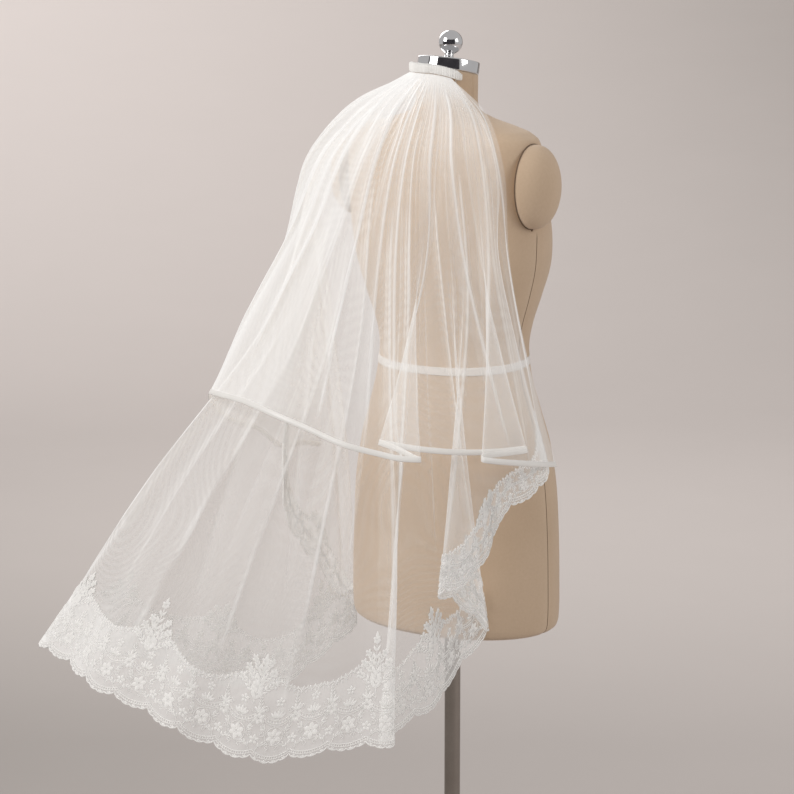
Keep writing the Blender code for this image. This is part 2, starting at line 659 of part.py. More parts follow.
def build_tiers(collection):
    """Both tiers, the ribbon on the upper hem and the lace on the lower one."""
    lower = tier_grid(LOWER_HEM, LOWER_HEADING, 0.0, LOWER_SAG, LOWER_COLUMNS, LOWER_STOPS)
    upper = tier_grid(UPPER_HEM, UPPER_HEADING, TIER_LIFT, UPPER_SAG, UPPER_COLUMNS, UPPER_STOPS)
    add_cloth(collection, "veil_lower_tier", lower, TULLE_WALL, "tulle")
    add_cloth(collection, "veil_upper_tier", upper, TULLE_WALL, "tulle")

    columns = np.arange(upper.shape[1], dtype=float)
    distance = TULLE_WALL / 2.0 + GAP + RIBBON_WALL / 2.0
    level = np.full(len(columns), RIBBON_WIDTH)
    ribbon = strip_on_tier(upper, columns, level, 0.0 * level, 1, distance)
    add_cloth(collection, "ribbon_edge", ribbon, RIBBON_WALL, "ribbon")

    spans = len(LOWER_HEM) - 1
    columns = np.linspace(0.0, lower.shape[1] - 1.0, spans * LACE_COLUMNS + 1)
    hem = on_tier(lower, columns, np.full(len(columns), lower.shape[0] - 1.0))
    along = np.concatenate([[0.0], np.cumsum(np.linalg.norm(np.diff(hem, axis=0), axis=1))])
    width = np.interp(columns / LOWER_COLUMNS, np.arange(spans + 1), [row.lace for row in LOWER_HEM])
    peaks = np.abs(np.cos(math.pi * along / LACE_PEAK_PITCH)) ** 3
    scallops = np.abs(np.sin(math.pi * along / SCALLOP_PITCH)) ** 0.7
    tops = width * (1.0 + LACE_PEAK * (peaks - 0.4))
    distance = TULLE_WALL / 2.0 + LACE_GAP + LACE_WALL / 2.0
    lace = strip_on_tier(lower, columns, tops, -SCALLOP_DEPTH * scallops, LACE_ROWS, distance)
    add_cloth(collection, "lace_edge", lace, LACE_WALL, "lace")


def build_heading(collection):
    """The bound band that holds the gathers, swept round the nape with a rounded section."""
    stations = 25
    bearings = np.linspace(HEADING_BEARING + 2.0, -HEADING_BEARING - 2.0, stations)
    edge = 0.0015
    section = [
        (HEADING_INNER + edge, 0.0),
        (HEADING_OUTER - edge, 0.0),
        (HEADING_OUTER, edge),
        (HEADING_OUTER, HEADING_HEIGHT - edge),
        (HEADING_OUTER - edge, HEADING_HEIGHT),
        (HEADING_INNER + edge, HEADING_HEIGHT),
        (HEADING_INNER, HEADING_HEIGHT - edge),
        (HEADING_INNER, edge),
    ]
    rings = []
    for bearing in bearings:
        ring = [from_neck(bearing, radius, 0.0) for radius, _ in section]
        for point, (_, rise) in zip(ring, section):
            point[2] = heading_height(bearing) + rise
        rings.append(ring)
    add_object(collection, "heading_band", loft("heading_band", np.array(rings), True, True), "binding")


def wire(collection, name, splines, thickness, finish_name):
    """Round wire through lists of points, as one curve object."""
    curve = bpy.data.curves.new(name, "CURVE")
    curve.dimensions = "3D"
    curve.bevel_depth = thickness
    curve.bevel_resolution = 1
    curve.use_fill_caps = True
    for points in splines:
        spline = curve.splines.new("POLY")
        spline.points.add(len(points) - 1)
        for target, point in zip(spline.points, points):
            target.co = (*point, 1.0)
    return add_object(collection, name, curve, finish_name)


def build_comb(collection):
    """The comb that the heading is sewn to: a bent spine, and teeth that lie down the nape."""
    bearings = np.linspace(-HEADING_BEARING + 6.0, HEADING_BEARING - 6.0, 21)
    spine = [from_neck(bearing, COMB_RADIUS, 0.0) for bearing in bearings]
    for point, bearing in zip(spine, bearings):
        point[2] = heading_height(bearing) + COMB_RISE
    wire(collection, "comb_spine", [spine], COMB_WIRE, "comb_metal")
    for number, bearing in enumerate(np.linspace(bearings[0] + 1.0, bearings[-1] - 1.0, COMB_TEETH)):
        top = from_neck(bearing, COMB_RADIUS - COMB_WIRE + TOOTH_WIRE, 0.0)
        top[2] = heading_height(bearing) + COMB_RISE - COMB_WIRE - GAP
        tip = top.copy()
        tip[2] -= TOOTH_LENGTH
        wire(collection, f"comb_tooth_{number:02d}", [[top, tip]], TOOTH_WIRE, "comb_metal")


def main():
    clear_scene()
    collection = make_collection()
    build_torso(collection)
    build_arm_plates(collection)
    build_waist_tape(collection)
    build_neck_cap(collection)
    build_stand(collection)
    build_heading(collection)
    build_comb(collection)
    build_tiers(collection)


main()
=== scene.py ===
# %% [markdown]
# # A two-tier bridal veil on a dress form
# The finished object is a fingertip-length veil of fine net. It hangs from a comb at the nape of a
# padded form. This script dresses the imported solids: it builds thin, finely folded cloth on the form
# that the solids give, and a finish for everything that shows. Every size is in metres.

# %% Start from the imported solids
import math
from collections import namedtuple

import bpy
import numpy as np
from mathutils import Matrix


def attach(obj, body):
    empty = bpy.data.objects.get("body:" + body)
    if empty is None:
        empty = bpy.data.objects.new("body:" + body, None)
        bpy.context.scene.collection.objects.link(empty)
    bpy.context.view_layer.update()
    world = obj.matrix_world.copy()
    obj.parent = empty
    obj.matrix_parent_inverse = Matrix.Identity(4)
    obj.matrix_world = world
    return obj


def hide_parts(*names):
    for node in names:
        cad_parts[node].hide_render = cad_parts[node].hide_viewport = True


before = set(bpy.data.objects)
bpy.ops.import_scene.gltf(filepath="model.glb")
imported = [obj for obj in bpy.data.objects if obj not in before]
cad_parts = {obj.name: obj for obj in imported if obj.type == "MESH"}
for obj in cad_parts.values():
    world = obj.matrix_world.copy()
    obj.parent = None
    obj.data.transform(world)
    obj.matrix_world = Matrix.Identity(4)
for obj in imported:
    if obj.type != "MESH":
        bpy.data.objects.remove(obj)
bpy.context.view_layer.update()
print("packed nodes:", len(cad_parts))

# %% [markdown]
# ## Shader arithmetic
# A finish is easier to read as arithmetic than as a web of nodes. A Signal wraps the output of one
# node, and each sign between two of them adds the Math node that does the sum. Finish keeps one
# material. Its node method makes every other node from its type, its settings and what goes into it,
# and its short methods make the few groups of nodes that most finishes share.

# %% Signal and Finish
class Signal:
    """A number that changes over a surface."""

    def __init__(self, finish, socket):
        self.finish = finish
        self.socket = socket

    def maths(self, operation, first, second=0.0):
        made = self.finish.node("ShaderNodeMath", {"operation": operation}, {0: first, 1: second})
        return Signal(self.finish, made.outputs[0])

    def __add__(self, other):
        return self.maths("ADD", self, other)

    def __radd__(self, other):
        return self.maths("ADD", other, self)

    def __sub__(self, other):
        return self.maths("SUBTRACT", self, other)

    def __rsub__(self, other):
        return self.maths("SUBTRACT", other, self)

    def __mul__(self, other):
        return self.maths("MULTIPLY", self, other)

    def __rmul__(self, other):
        return self.maths("MULTIPLY", other, self)

    def __truediv__(self, other):
        return self.maths("DIVIDE", self, other)

    def __rtruediv__(self, other):
        return self.maths("DIVIDE", other, self)

    def __pow__(self, other):
        return self.maths("POWER", self, other)

    def __rpow__(self, other):
        return self.maths("POWER", other, self)

    def between(self, low, high):
        return self.maths("MINIMUM", self.maths("MAXIMUM", self, low), high)


class Finish:
    """One material under construction."""

    def __init__(self, name):
        self.material = bpy.data.materials.new(name)
        self.material.use_nodes = True
        self.tree = self.material.node_tree
        self.tree.nodes.clear()

    def node(self, kind, settings=None, inputs=None):
        made = self.tree.nodes.new(kind)
        for name, value in (settings or {}).items():
            if name == "stops":
                first, last = value
                made.color_ramp.elements[0].position = first
                made.color_ramp.elements[1].position = last
            else:
                setattr(made, name, value)
        for name, value in (inputs or {}).items():
            target = made.inputs[name]
            if isinstance(value, Signal):
                self.tree.links.new(value.socket, target)
            elif isinstance(value, bpy.types.NodeSocket):
                self.tree.links.new(value, target)
            else:
                target.default_value = value
        return made

    def signal(self, kind, settings=None, inputs=None, output=0):
        return Signal(self, self.node(kind, settings, inputs).outputs[output])

    def blend(self, factor, first, second):
        """One colour between two, by a factor that may change over the surface."""
        settings = {"data_type": "RGBA", "clamp_factor": True}
        made = self.node("ShaderNodeMix", settings, {0: factor, 6: first, 7: second})
        return made.outputs[2]

    def place(self):
        """Where a point lies, in metres."""
        return self.node("ShaderNodeTexCoord").outputs["Object"]

    def lay(self):
        """Where a point lies on flat cloth: along it, down or up it, and the layers there."""
        return self.node("ShaderNodeAttribute", {"attribute_name": "lay"}).outputs["Vector"]

    def stretch(self, place, scale):
        """The same place with each axis drawn out or pressed together."""
        return self.node("ShaderNodeMapping", None, {"Vector": place, "Scale": scale}).outputs[0]

    def noise(self, place, scale, detail=2.0):
        """Soft random patches, smaller for a larger scale."""
        inputs = {"Scale": scale, "Detail": detail}
        if place is not None:
            inputs["Vector"] = place
        return self.signal("ShaderNodeTexNoise", None, inputs)

    def surface(self, inputs, height=None, strength=0.0, distance=0.0):
        """Close the material with one shader, raised by a bump where a height is given."""
        inputs = dict(inputs)
        if height is not None:
            bump = {"Strength": strength, "Distance": distance, "Height": height}
            inputs["Normal"] = self.node("ShaderNodeBump", None, bump).outputs[0]
        return self.close(self.node("ShaderNodeBsdfPrincipled", None, inputs))

    def close(self, shader):
        self.node("ShaderNodeOutputMaterial", None, {"Surface": shader.outputs[0]})
        print("finish:", self.material.name, len(self.tree.nodes), "nodes")
        return self.material


# %% [markdown]
# ## The camera
# The photograph was taken with a long lens from behind the form's right shoulder, a little above it.
# The camera stands 35 degrees round from straight behind, 4.4 m away, and tilts down by 10.5 degrees.
# The lens makes a picture 794 pixels wide from 2900 pixels of focal length.

# %% Camera
PICTURE_WIDTH = 794
FOCAL_PIXELS = 2900.0
SENSOR = 36.0
CAMERA_PLACE = (2.5352, -3.6207, 1.8081)
CAMERA_DOWN = 10.5
CAMERA_TURN = 36.136
camera_data = bpy.data.cameras.new("camera")
camera_data.sensor_width = SENSOR
camera_data.lens = SENSOR * FOCAL_PIXELS / PICTURE_WIDTH
camera = bpy.data.objects.new("camera", camera_data)
camera.location = CAMERA_PLACE
camera.rotation_euler = (math.radians(90.0 - CAMERA_DOWN), 0.0, math.radians(CAMERA_TURN))
bpy.context.scene.collection.objects.link(camera)
bpy.context.scene.camera = camera
print("lens:", round(camera_data.lens, 1), "mm")

# %% [markdown]
# ## Meshes from rows of points
# Almost everything here is a grid: rows of points joined by four-sided faces. One function makes such
# a grid from a table of points. It can close the grid round a form, smooth its shading, and keep a
# note on each point of where that point lies on the cloth. The finishes read that note.

# %% Grid helper
ROOT = "root"
made_pieces = []


def add_grid(name, rings, material, closed=False, note=None, replaces=()):
    """A smooth mesh through rows x columns x 3 points. It rides on the one body."""
    rows, columns = rings.shape[:2]
    last = columns if closed else columns - 1
    faces = []
    for row in range(rows - 1):
        for column in range(last):
            beside = (column + 1) % columns
            here = row * columns
            below = here + columns
            faces.append((here + column, here + beside, below + beside, below + column))
    return add_mesh(name, rings.reshape(-1, 3), faces, material, note, replaces)


def add_mesh(name, points, faces, material, note=None, replaces=()):
    mesh = bpy.data.meshes.new(name)
    mesh.from_pydata(points.tolist(), [], faces)
    mesh.shade_smooth()
    if note is not None:
        layer = mesh.attributes.new("lay", "FLOAT_VECTOR", "POINT")
        layer.data.foreach_set("vector", note.reshape(-1).astype(np.float32))
    mesh.materials.append(material)
    piece = bpy.data.objects.new(name, mesh)
    bpy.context.scene.collection.objects.link(piece)
    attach(piece, ROOT)
    if replaces:
        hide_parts(*replaces)
    made_pieces.append(piece)
    print("piece:", name, len(faces), "faces")
    return piece


def unit(vectors):
    return vectors / np.maximum(np.linalg.norm(vectors, axis=-1, keepdims=True), 1e-9)


def through(points, stops):
    """A smooth curve through the points, read at stops from 0 to len(points) - 1."""
    points = np.asarray(points, float)
    ends = np.concatenate([[2 * points[0] - points[1]], points, [2 * points[-1] - points[-2]]])
    steps = np.sqrt(np.linalg.norm(np.diff(ends[:, :3], axis=0), axis=1)) + 1e-6
    time = np.concatenate([[0.0], np.cumsum(steps)])
    span = np.clip(np.floor(stops).astype(int), 0, len(points) - 2)
    t0, t1, t2, t3 = (time[span + shift][:, None] for shift in range(4))
    p0, p1, p2, p3 = (ends[span + shift] for shift in range(4))
    t = t1 + (stops - span)[:, None] * (t2 - t1)
    a1 = (t1 - t) / (t1 - t0) * p0 + (t - t0) / (t1 - t0) * p1
    a2 = (t2 - t) / (t2 - t1) * p1 + (t - t1) / (t2 - t1) * p2
    a3 = (t3 - t) / (t3 - t2) * p2 + (t - t2) / (t3 - t2) * p3
    b1 = (t2 - t) / (t2 - t0) * a1 + (t - t0) / (t2 - t0) * a2
    b2 = (t3 - t) / (t3 - t1) * a2 + (t - t1) / (t3 - t1) * a3
    return (t2 - t) / (t2 - t1) * b1 + (t - t1) / (t2 - t1) * b2


def smooth_between(values, knots, heights):
    """A smooth curve through (knot, height) pairs, read at the values."""
    knots = np.asarray(knots, float)
    heights = np.asarray(heights, float)
    slopes = np.gradient(heights, knots)
    span = np.clip(np.searchsorted(knots, values) - 1, 0, len(knots) - 2)
    width = knots[span + 1] - knots[span]
    t = (values - knots[span]) / width
    return (
        heights[span] * (1 + 2 * t) * (1 - t) ** 2
        + slopes[span] * width * t * (1 - t) ** 2
        + heights[span + 1] * t * t * (3 - 2 * t)
        + slopes[span + 1] * width * t * t * (t - 1)
    )


def ease(values, low, high):
    """0 below low, 1 above high and a soft step between them."""
    t = np.clip((values - low) / (high - low), 0.0, 1.0)
    return t * t * (3.0 - 2.0 * t)


print("helpers ready")

# %% [markdown]
# ## Floor, backdrop and light
# A studio sweep is one sheet that lies on the floor and curves up behind the object, so no line shows
# where they meet. It is pale and plain, with painted light and shade: its colour is painted a little
# brighter high on the left and dimmer near the floor.
# The light is soft: a broad lamp high on the left, a weaker one on the right, one from behind on the
# left that lights the net's edges, and an even fill from all round. One more lamp lights mostly the
# wall. The wall stands well back, so that a camera can also look from the front.

# %% Backdrop finish and sweep
AWAY = math.radians(CAMERA_TURN)
# Painted light and shade: how bright the paper's colour is goes by how far back and how high a point
# lies, and by how far to the right.
RISE_BY_DISTANCE = 0.142
RISE_BY_HEIGHT = 0.136
RISE_FROM = 0.20
FLOOR_PAINTED_LIGHT = 0.832
PAINTED_LIGHT_GAIN = 0.58
PAINTED_LIGHT_BEND = 0.31
RIGHT_PAINTED_LIGHT = 0.16
RIGHT_PAINTED_LIGHT_LOSS = 0.33
PAPER_SPECKLE = 0.03
DIMMEST = 0.65
SPREAD = 0.90
PAPER_IN_PAINTED_SHADE = (0.351, 0.322, 0.304, 1.0)
PAPER_IN_PAINTED_LIGHT = (0.837, 0.770, 0.745, 1.0)
backdrop = Finish("backdrop_paper_painted_light")
turned_inputs = {"Vector": backdrop.place(), "Rotation": (0.0, 0.0, -AWAY)}
across = backdrop.node("ShaderNodeMapping", None, turned_inputs)
spot = backdrop.node("ShaderNodeSeparateXYZ", None, {0: across.outputs[0]})
sideways, backward, upward = (Signal(backdrop, spot.outputs[axis]) for axis in range(3))
rise = backward * RISE_BY_DISTANCE + upward * RISE_BY_HEIGHT - RISE_FROM
rise = rise.between(0.0, 1.0)
speck = backdrop.noise(None, 60.0, 4.0)
level = rise * (PAINTED_LIGHT_GAIN - rise * PAINTED_LIGHT_BEND) + FLOOR_PAINTED_LIGHT
level = level + sideways * (RIGHT_PAINTED_LIGHT - rise * RIGHT_PAINTED_LIGHT_LOSS)
level = level + (speck - 0.5) * PAPER_SPECKLE
share = ((level - DIMMEST) * (1.0 / SPREAD)).between(0.0, 1.0)
# Painted light and shade: the paper's colour runs from a dim copy to a pale copy by the painted level.
paper = backdrop.blend(share, PAPER_IN_PAINTED_SHADE, PAPER_IN_PAINTED_LIGHT)
backdrop_material = backdrop.surface({"Base Color": paper, "Roughness": 0.9})

SWEEP_NEAR = -6.0
SWEEP_BEND = 4.8
SWEEP_RADIUS = 3.2
SWEEP_TOP = 5.0
SWEEP_HALF = 6.0
turns = np.linspace(0.0, math.pi / 2.0, 17)
profile = [(SWEEP_NEAR, 0.0)]
profile += [(SWEEP_BEND + SWEEP_RADIUS * math.sin(a), SWEEP_RADIUS * (1 - math.cos(a))) for a in turns]
profile.append((SWEEP_BEND + SWEEP_RADIUS, SWEEP_TOP))
sweep_points = []
for distance, height in profile:
    for side in (-SWEEP_HALF, SWEEP_HALF):
        x = side * math.cos(AWAY) - distance * math.sin(AWAY)
        y = side * math.sin(AWAY) + distance * math.cos(AWAY)
        sweep_points.append((x, y, height))
sweep_mesh = bpy.data.meshes.new("sweep")
sweep_faces = [(2 * i, 2 * i + 1, 2 * i + 3, 2 * i + 2) for i in range(len(profile) - 1)]
sweep_mesh.from_pydata(sweep_points, [], sweep_faces)
sweep_mesh.shade_smooth()
sweep_mesh.materials.append(backdrop_material)
sweep = bpy.data.objects.new("sweep", sweep_mesh)
bpy.context.scene.collection.objects.link(sweep)
print("sweep:", len(profile), "rows")

# %% Lamps
LAMP_COLOUR = (1.0, 0.985, 0.965)
FILL_COLOUR = (0.95, 0.93, 0.92, 1.0)
FILL_STRENGTH = 0.56
Lamp = namedtuple("Lamp", "name place aim size power")
LAMPS = [
    Lamp("key_lamp", (-1.6, -4.2, 3.4), (0.0, 0.0, 1.1), 2.4, 122.0),
    Lamp("side_lamp", (3.8, 0.6, 2.6), (0.0, 0.0, 1.1), 1.6, 34.0),
    Lamp("back_lamp", (-2.6, 1.6, 2.8), (0.0, 0.0, 1.0), 1.6, 34.0),
    Lamp("backdrop_lamp", (-1.88, 1.72, 4.5), (-5.25, 6.69, 3.0), 2.4, 150.0),
]
for lamp in LAMPS:
    data = bpy.data.lights.new(lamp.name, "AREA")
    data.size = lamp.size
    data.energy = lamp.power
    data.color = LAMP_COLOUR
    light = bpy.data.objects.new(lamp.name, data)
    light.location = lamp.place
    aim = np.array(lamp.aim) - np.array(lamp.place)
    level = math.hypot(aim[0], aim[1])
    light.rotation_euler = (math.atan2(level, -aim[2]), 0.0, math.atan2(-aim[0], aim[1]))
    bpy.context.scene.collection.objects.link(light)
world = bpy.data.worlds.new("studio")
world.use_nodes = True
fill = world.node_tree.nodes["Background"]
fill.inputs["Color"].default_value = FILL_COLOUR
fill.inputs["Strength"].default_value = FILL_STRENGTH
bpy.context.scene.world = world
bpy.context.scene.view_settings.view_transform = "Standard"
print("lamps:", len(LAMPS))

# %% [markdown]
# ## A dark screen for the metal
# A photographer puts dark cloth beside polished metal, because chrome in an all-white room looks like
# grey plastic. One curved screen stands behind the camera. Only reflections see it, so it takes no
# light from the cloth and never shows in a picture.

# %% Dark screen
SCREEN_RADIUS = 5.4
SCREEN_TOP = 4.4
SCREEN_FROM = -78.0
SCREEN_TO = 42.0
SCREEN_TURN = 36.0
SCREEN_STEPS = 24
SCREEN_FOOT = 0.02
SCREEN_DARK = (0.035, 0.034, 0.042, 1.0)
SCREEN_PALE = (0.085, 0.080, 0.090, 1.0)
screen_cloth = Finish("screen_cloth")
screen_colour = screen_cloth.blend(screen_cloth.noise(None, 3.0, 3.0), SCREEN_DARK, SCREEN_PALE)
screen_material = screen_cloth.surface({"Base Color": screen_colour, "Roughness": 0.95})
screen_points = []
screen_turns = np.linspace(SCREEN_FROM, SCREEN_TO, SCREEN_STEPS + 1) + SCREEN_TURN
for bearing in np.radians(screen_turns):
    for height in (SCREEN_FOOT, SCREEN_TOP):
        x = SCREEN_RADIUS * math.sin(bearing)
        y = -SCREEN_RADIUS * math.cos(bearing)
        screen_points.append((x, y, height))
screen_faces = [(2 * i, 2 * i + 1, 2 * i + 3, 2 * i + 2) for i in range(SCREEN_STEPS)]
screen_mesh = bpy.data.meshes.new("dark_screen")
screen_mesh.from_pydata(screen_points, [], screen_faces)
screen_mesh.materials.append(screen_material)
screen = bpy.data.objects.new("dark_screen", screen_mesh)
screen.visible_camera = False
screen.visible_diffuse = False
screen.visible_shadow = False
screen.visible_transmission = False
bpy.context.scene.collection.objects.link(screen)
print("screen:", len(screen_faces), "faces")

# %% [markdown]
# ## The padded form
# A dress form is a smooth padded body under a stretched linen cover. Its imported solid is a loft
# through level ovals, and it is a little faceted. The same ovals are used here, with many more points
# on smooth curves between them. Where each arm plate sits, the side is pressed flat.

# %% Form sections
ARM_X = 0.1605
ARM_Y = -0.028
ARM_Z = 1.329
ARM_HALF_DEPTH = 0.0475
ARM_HALF_HEIGHT = 0.0630
Section = namedtuple("Section", "height half_width back front centre_y squareness tilt")
TORSO_SECTIONS = [
    Section(0.6350, 0.1640, 0.1170, 0.1120, 0.008, 2.1, 0.0),
    Section(0.6400, 0.1705, 0.1235, 0.1180, 0.008, 2.1, 0.0),
    Section(0.6500, 0.1735, 0.1260, 0.1210, 0.008, 2.1, 0.0),
    Section(0.7200, 0.1740, 0.1270, 0.1220, 0.008, 2.1, 0.0),
    Section(0.8000, 0.1715, 0.1260, 0.1215, 0.008, 2.1, 0.0),
    Section(0.8670, 0.1670, 0.1230, 0.1190, 0.007, 2.1, 0.0),
    Section(0.9290, 0.1560, 0.1160, 0.1130, 0.006, 2.1, 0.0),
    Section(0.9750, 0.1420, 0.1080, 0.1050, 0.004, 2.1, 0.0),
    Section(1.0300, 0.1270, 0.0970, 0.0970, 0.001, 2.1, 0.0),
    Section(1.0760, 0.1225, 0.0920, 0.0960, 0.000, 2.1, 0.0),
    Section(1.1100, 0.1285, 0.0920, 0.1010, -0.002, 2.15, 0.0),
    Section(1.1500, 0.1420, 0.0950, 0.1120, -0.005, 2.2, 0.0),
    Section(1.2000, 0.1560, 0.1000, 0.1250, -0.008, 2.3, 0.0),
    Section(1.2400, 0.1605, 0.1010, 0.1220, -0.011, 2.4, 0.0),
    Section(1.2900, 0.1635, 0.0970, 0.1040, -0.016, 2.5, 0.0),
    Section(1.3400, 0.1650, 0.0890, 0.0880, -0.020, 2.6, 0.0),
    Section(1.3800, 0.1645, 0.0790, 0.0740, -0.025, 2.6, 0.0),
    Section(1.3980, 0.1600, 0.0720, 0.0670, -0.027, 2.5, 0.0),
    Section(1.4080, 0.1450, 0.0670, 0.0630, -0.027, 2.4, 0.0),
    Section(1.4160, 0.1180, 0.0630, 0.0600, -0.026, 2.2, 0.0),
    Section(1.4230, 0.0900, 0.0590, 0.0560, -0.025, 2.0, 0.0),
    Section(1.4300, 0.0660, 0.0550, 0.0520, -0.024, 2.0, 0.0),
    Section(1.4380, 0.0520, 0.0500, 0.0490, -0.022, 2.0, 2.0),
    Section(1.4500, 0.0470, 0.0470, 0.0470, -0.020, 2.0, 5.0),
    Section(1.4720, 0.0470, 0.0470, 0.0470, -0.020, 2.0, 8.0),
    Section(1.4920, 0.0470, 0.0470, 0.0470, -0.020, 2.0, 11.0),
]
SECTION_STEPS = 5
FORM_SIDES = 112
SEAM_ANGLES = (0.0, 180.0)
SEAM_DEPTH = 0.0016
SEAM_WIDTH = 1.6


def form_rings():
    """Level rings of the form, each with its seams pressed in a little."""
    table = np.array(TORSO_SECTIONS)
    stops = np.linspace(0.0, len(table) - 1.0, (len(table) - 1) * SECTION_STEPS + 1)
    smooth = through(table, stops)
    smooth[:, 0] = np.interp(stops, np.arange(len(table)), table[:, 0])
    angles = np.arange(FORM_SIDES) * 2.0 * math.pi / FORM_SIDES
    degrees = np.degrees(angles)
    from_seams = [(degrees - a + 180.0) % 360.0 - 180.0 for a in SEAM_ANGLES]
    seam = sum(np.exp(-(away / SEAM_WIDTH) ** 2) for away in from_seams)
    rings = []
    for height, half, back, front, centre, squareness, tilt in smooth:
        power = 2.0 / squareness
        depth = np.where(np.sin(angles) > 0.0, front, back)
        across = half * np.sign(np.cos(angles)) * np.abs(np.cos(angles)) ** power
        forward = depth * np.sign(np.sin(angles)) * np.abs(np.sin(angles)) ** power
        rise = -forward * math.tan(math.radians(tilt))
        shrink = 1.0 - seam * SEAM_DEPTH / half
        rings.append(np.stack([across * shrink, forward * shrink + centre, rise + height], axis=-1))
    return np.array(rings)


body_rings = form_rings()
oval = ((body_rings[..., 1] - ARM_Y) / ARM_HALF_DEPTH) ** 2
oval = np.sqrt(oval + ((body_rings[..., 2] - ARM_Z) / ARM_HALF_HEIGHT) ** 2)
pressed = 1.0 - ease(oval, 1.0, 1.12)
flat_x = np.clip(body_rings[..., 0], -ARM_X, ARM_X)
body_rings[..., 0] += (flat_x - body_rings[..., 0]) * pressed
print("form rings:", body_rings.shape[:2])

# %% [markdown]
# ## Linen for the cover
# The cover is a plain weave, natural beige, slightly uneven in tone. Two sets of fine bands cross at
# right angles for the weave. They only raise the surface, because from a step away linen has one
# colour with soft mottling.

# %% Linen finish
LINEN_LIGHT = (0.60, 0.455, 0.325, 1.0)
LINEN_DARK = (0.52, 0.385, 0.265, 1.0)
WEAVE_SCALE = 340.0


def linen_finish(name, light, dark, weave_scale):
    linen = Finish(name)
    place = linen.place()
    mottle = linen.noise(place, 9.0, 5.0)
    slub = linen.noise(place, 260.0, 3.0)
    warp = linen.noise(linen.stretch(place, (1.0, 1.0, 0.08)), 900.0)
    settings = {"wave_type": "BANDS", "bands_direction": "Z"}
    weave = {"Vector": place, "Scale": weave_scale, "Distortion": 0.6}
    weft = linen.signal("ShaderNodeTexWave", settings, weave, 1)
    tone = ((mottle - 0.5) * 1.3 + (slub - 0.5) * 0.7 + 0.5).between(0.0, 1.0)
    inputs = {"Base Color": linen.blend(tone, dark, light), "Roughness": 0.88}
    inputs.update({"Sheen Weight": 0.15, "Sheen Roughness": 0.5})
    return linen.surface(inputs, warp * 0.6 + weft * 0.4 + slub * 0.3, 0.35, 0.0004)


linen_material = linen_finish("natural_linen", LINEN_LIGHT, LINEN_DARK, WEAVE_SCALE)


def lid(rings, index, steps=4):
    """The last rings of a closed end: smaller and smaller copies of one ring, down to a point."""
    centre = rings[index].mean(axis=0)
    shares = [1.0 - step / steps for step in range(1, steps + 1)]
    return [centre + (rings[index] - centre) * max(share, 0.001) for share in shares]


bottom = list(reversed(lid(body_rings, 0)))
top = lid(body_rings, -1)
whole = np.array(bottom + list(body_rings) + top)
add_grid("form_body", whole, linen_material, closed=True, replaces=["torso"])

# %% [markdown]
# ## Arm plates and turned metal
# Each arm plate is a low padded dome on a straight rim. The cap, ball, pole and base are turned metal.
# All of them are one outline spun round an axis, so one function makes them. It keeps the small
# rounded edges that catch the light.

# %% Turned pieces
NECK_TILT = math.radians(11.0)
NECK_TOP = 1.4920
NECK_Y = -0.020
GAP = 0.0003
# Rings and tips on an axis keep this radius, so that no two points fall together.
AXIS = 0.00001


def rounded(corners, radius, steps=4):
    """An outline with each inner corner cut to a small arc."""
    outline = [np.array(corners[0], float)]
    for before, corner, after in zip(corners, corners[1:], corners[2:]):
        corner = np.array(corner, float)
        to_before = unit(np.array(before, float) - corner)
        to_after = unit(np.array(after, float) - corner)
        for step in range(steps + 1):
            t = step / steps
            start = corner + to_before * radius
            end = corner + to_after * radius
            outline.append(start * (1 - t) ** 2 + corner * 2 * t * (1 - t) + end * t * t)
    outline.append(np.array(corners[-1], float))
    return outline


def turned_rings(outline, sides):
    angles = np.arange(sides) * 2.0 * math.pi / sides
    return np.array([
        np.stack([radius * np.cos(angles), radius * np.sin(angles), height + 0.0 * angles], axis=-1)
        for radius, height in outline
    ])


def tilted(points):
    """Points on the neck's tilted axis, moved to where that axis meets the neck's top."""
    y = points[..., 1] * math.cos(NECK_TILT) + points[..., 2] * math.sin(NECK_TILT)
    z = points[..., 2] * math.cos(NECK_TILT) - points[..., 1] * math.sin(NECK_TILT)
    return np.stack([points[..., 0], y + NECK_Y, z + NECK_TOP], axis=-1)


ARM_RIM = 0.006
ARM_DOME = 0.034
dome = [(AXIS, 0.0), (ARM_HALF_DEPTH, 0.0)]
for step in range(19):
    angle = step * math.pi / 2.0 / 18.0
    swell = ARM_DOME * math.sin(angle) ** 0.92
    dome.append((max(ARM_HALF_DEPTH * math.cos(angle), AXIS), ARM_RIM + swell))
plate = turned_rings(dome, 72)
for name, side in (("arm_pad_right", 1.0), ("arm_pad_left", -1.0)):
    stretch = ARM_HALF_HEIGHT / ARM_HALF_DEPTH
    x = side * (ARM_X + GAP + plate[..., 2])
    y = ARM_Y - side * plate[..., 1]
    rings = np.stack([x, y, ARM_Z + plate[..., 0] * stretch], axis=-1)
    node = "arm_plate_right" if side > 0.0 else "arm_plate_left"
    add_grid(name, rings[:, ::-1], linen_material, closed=True, replaces=[node])
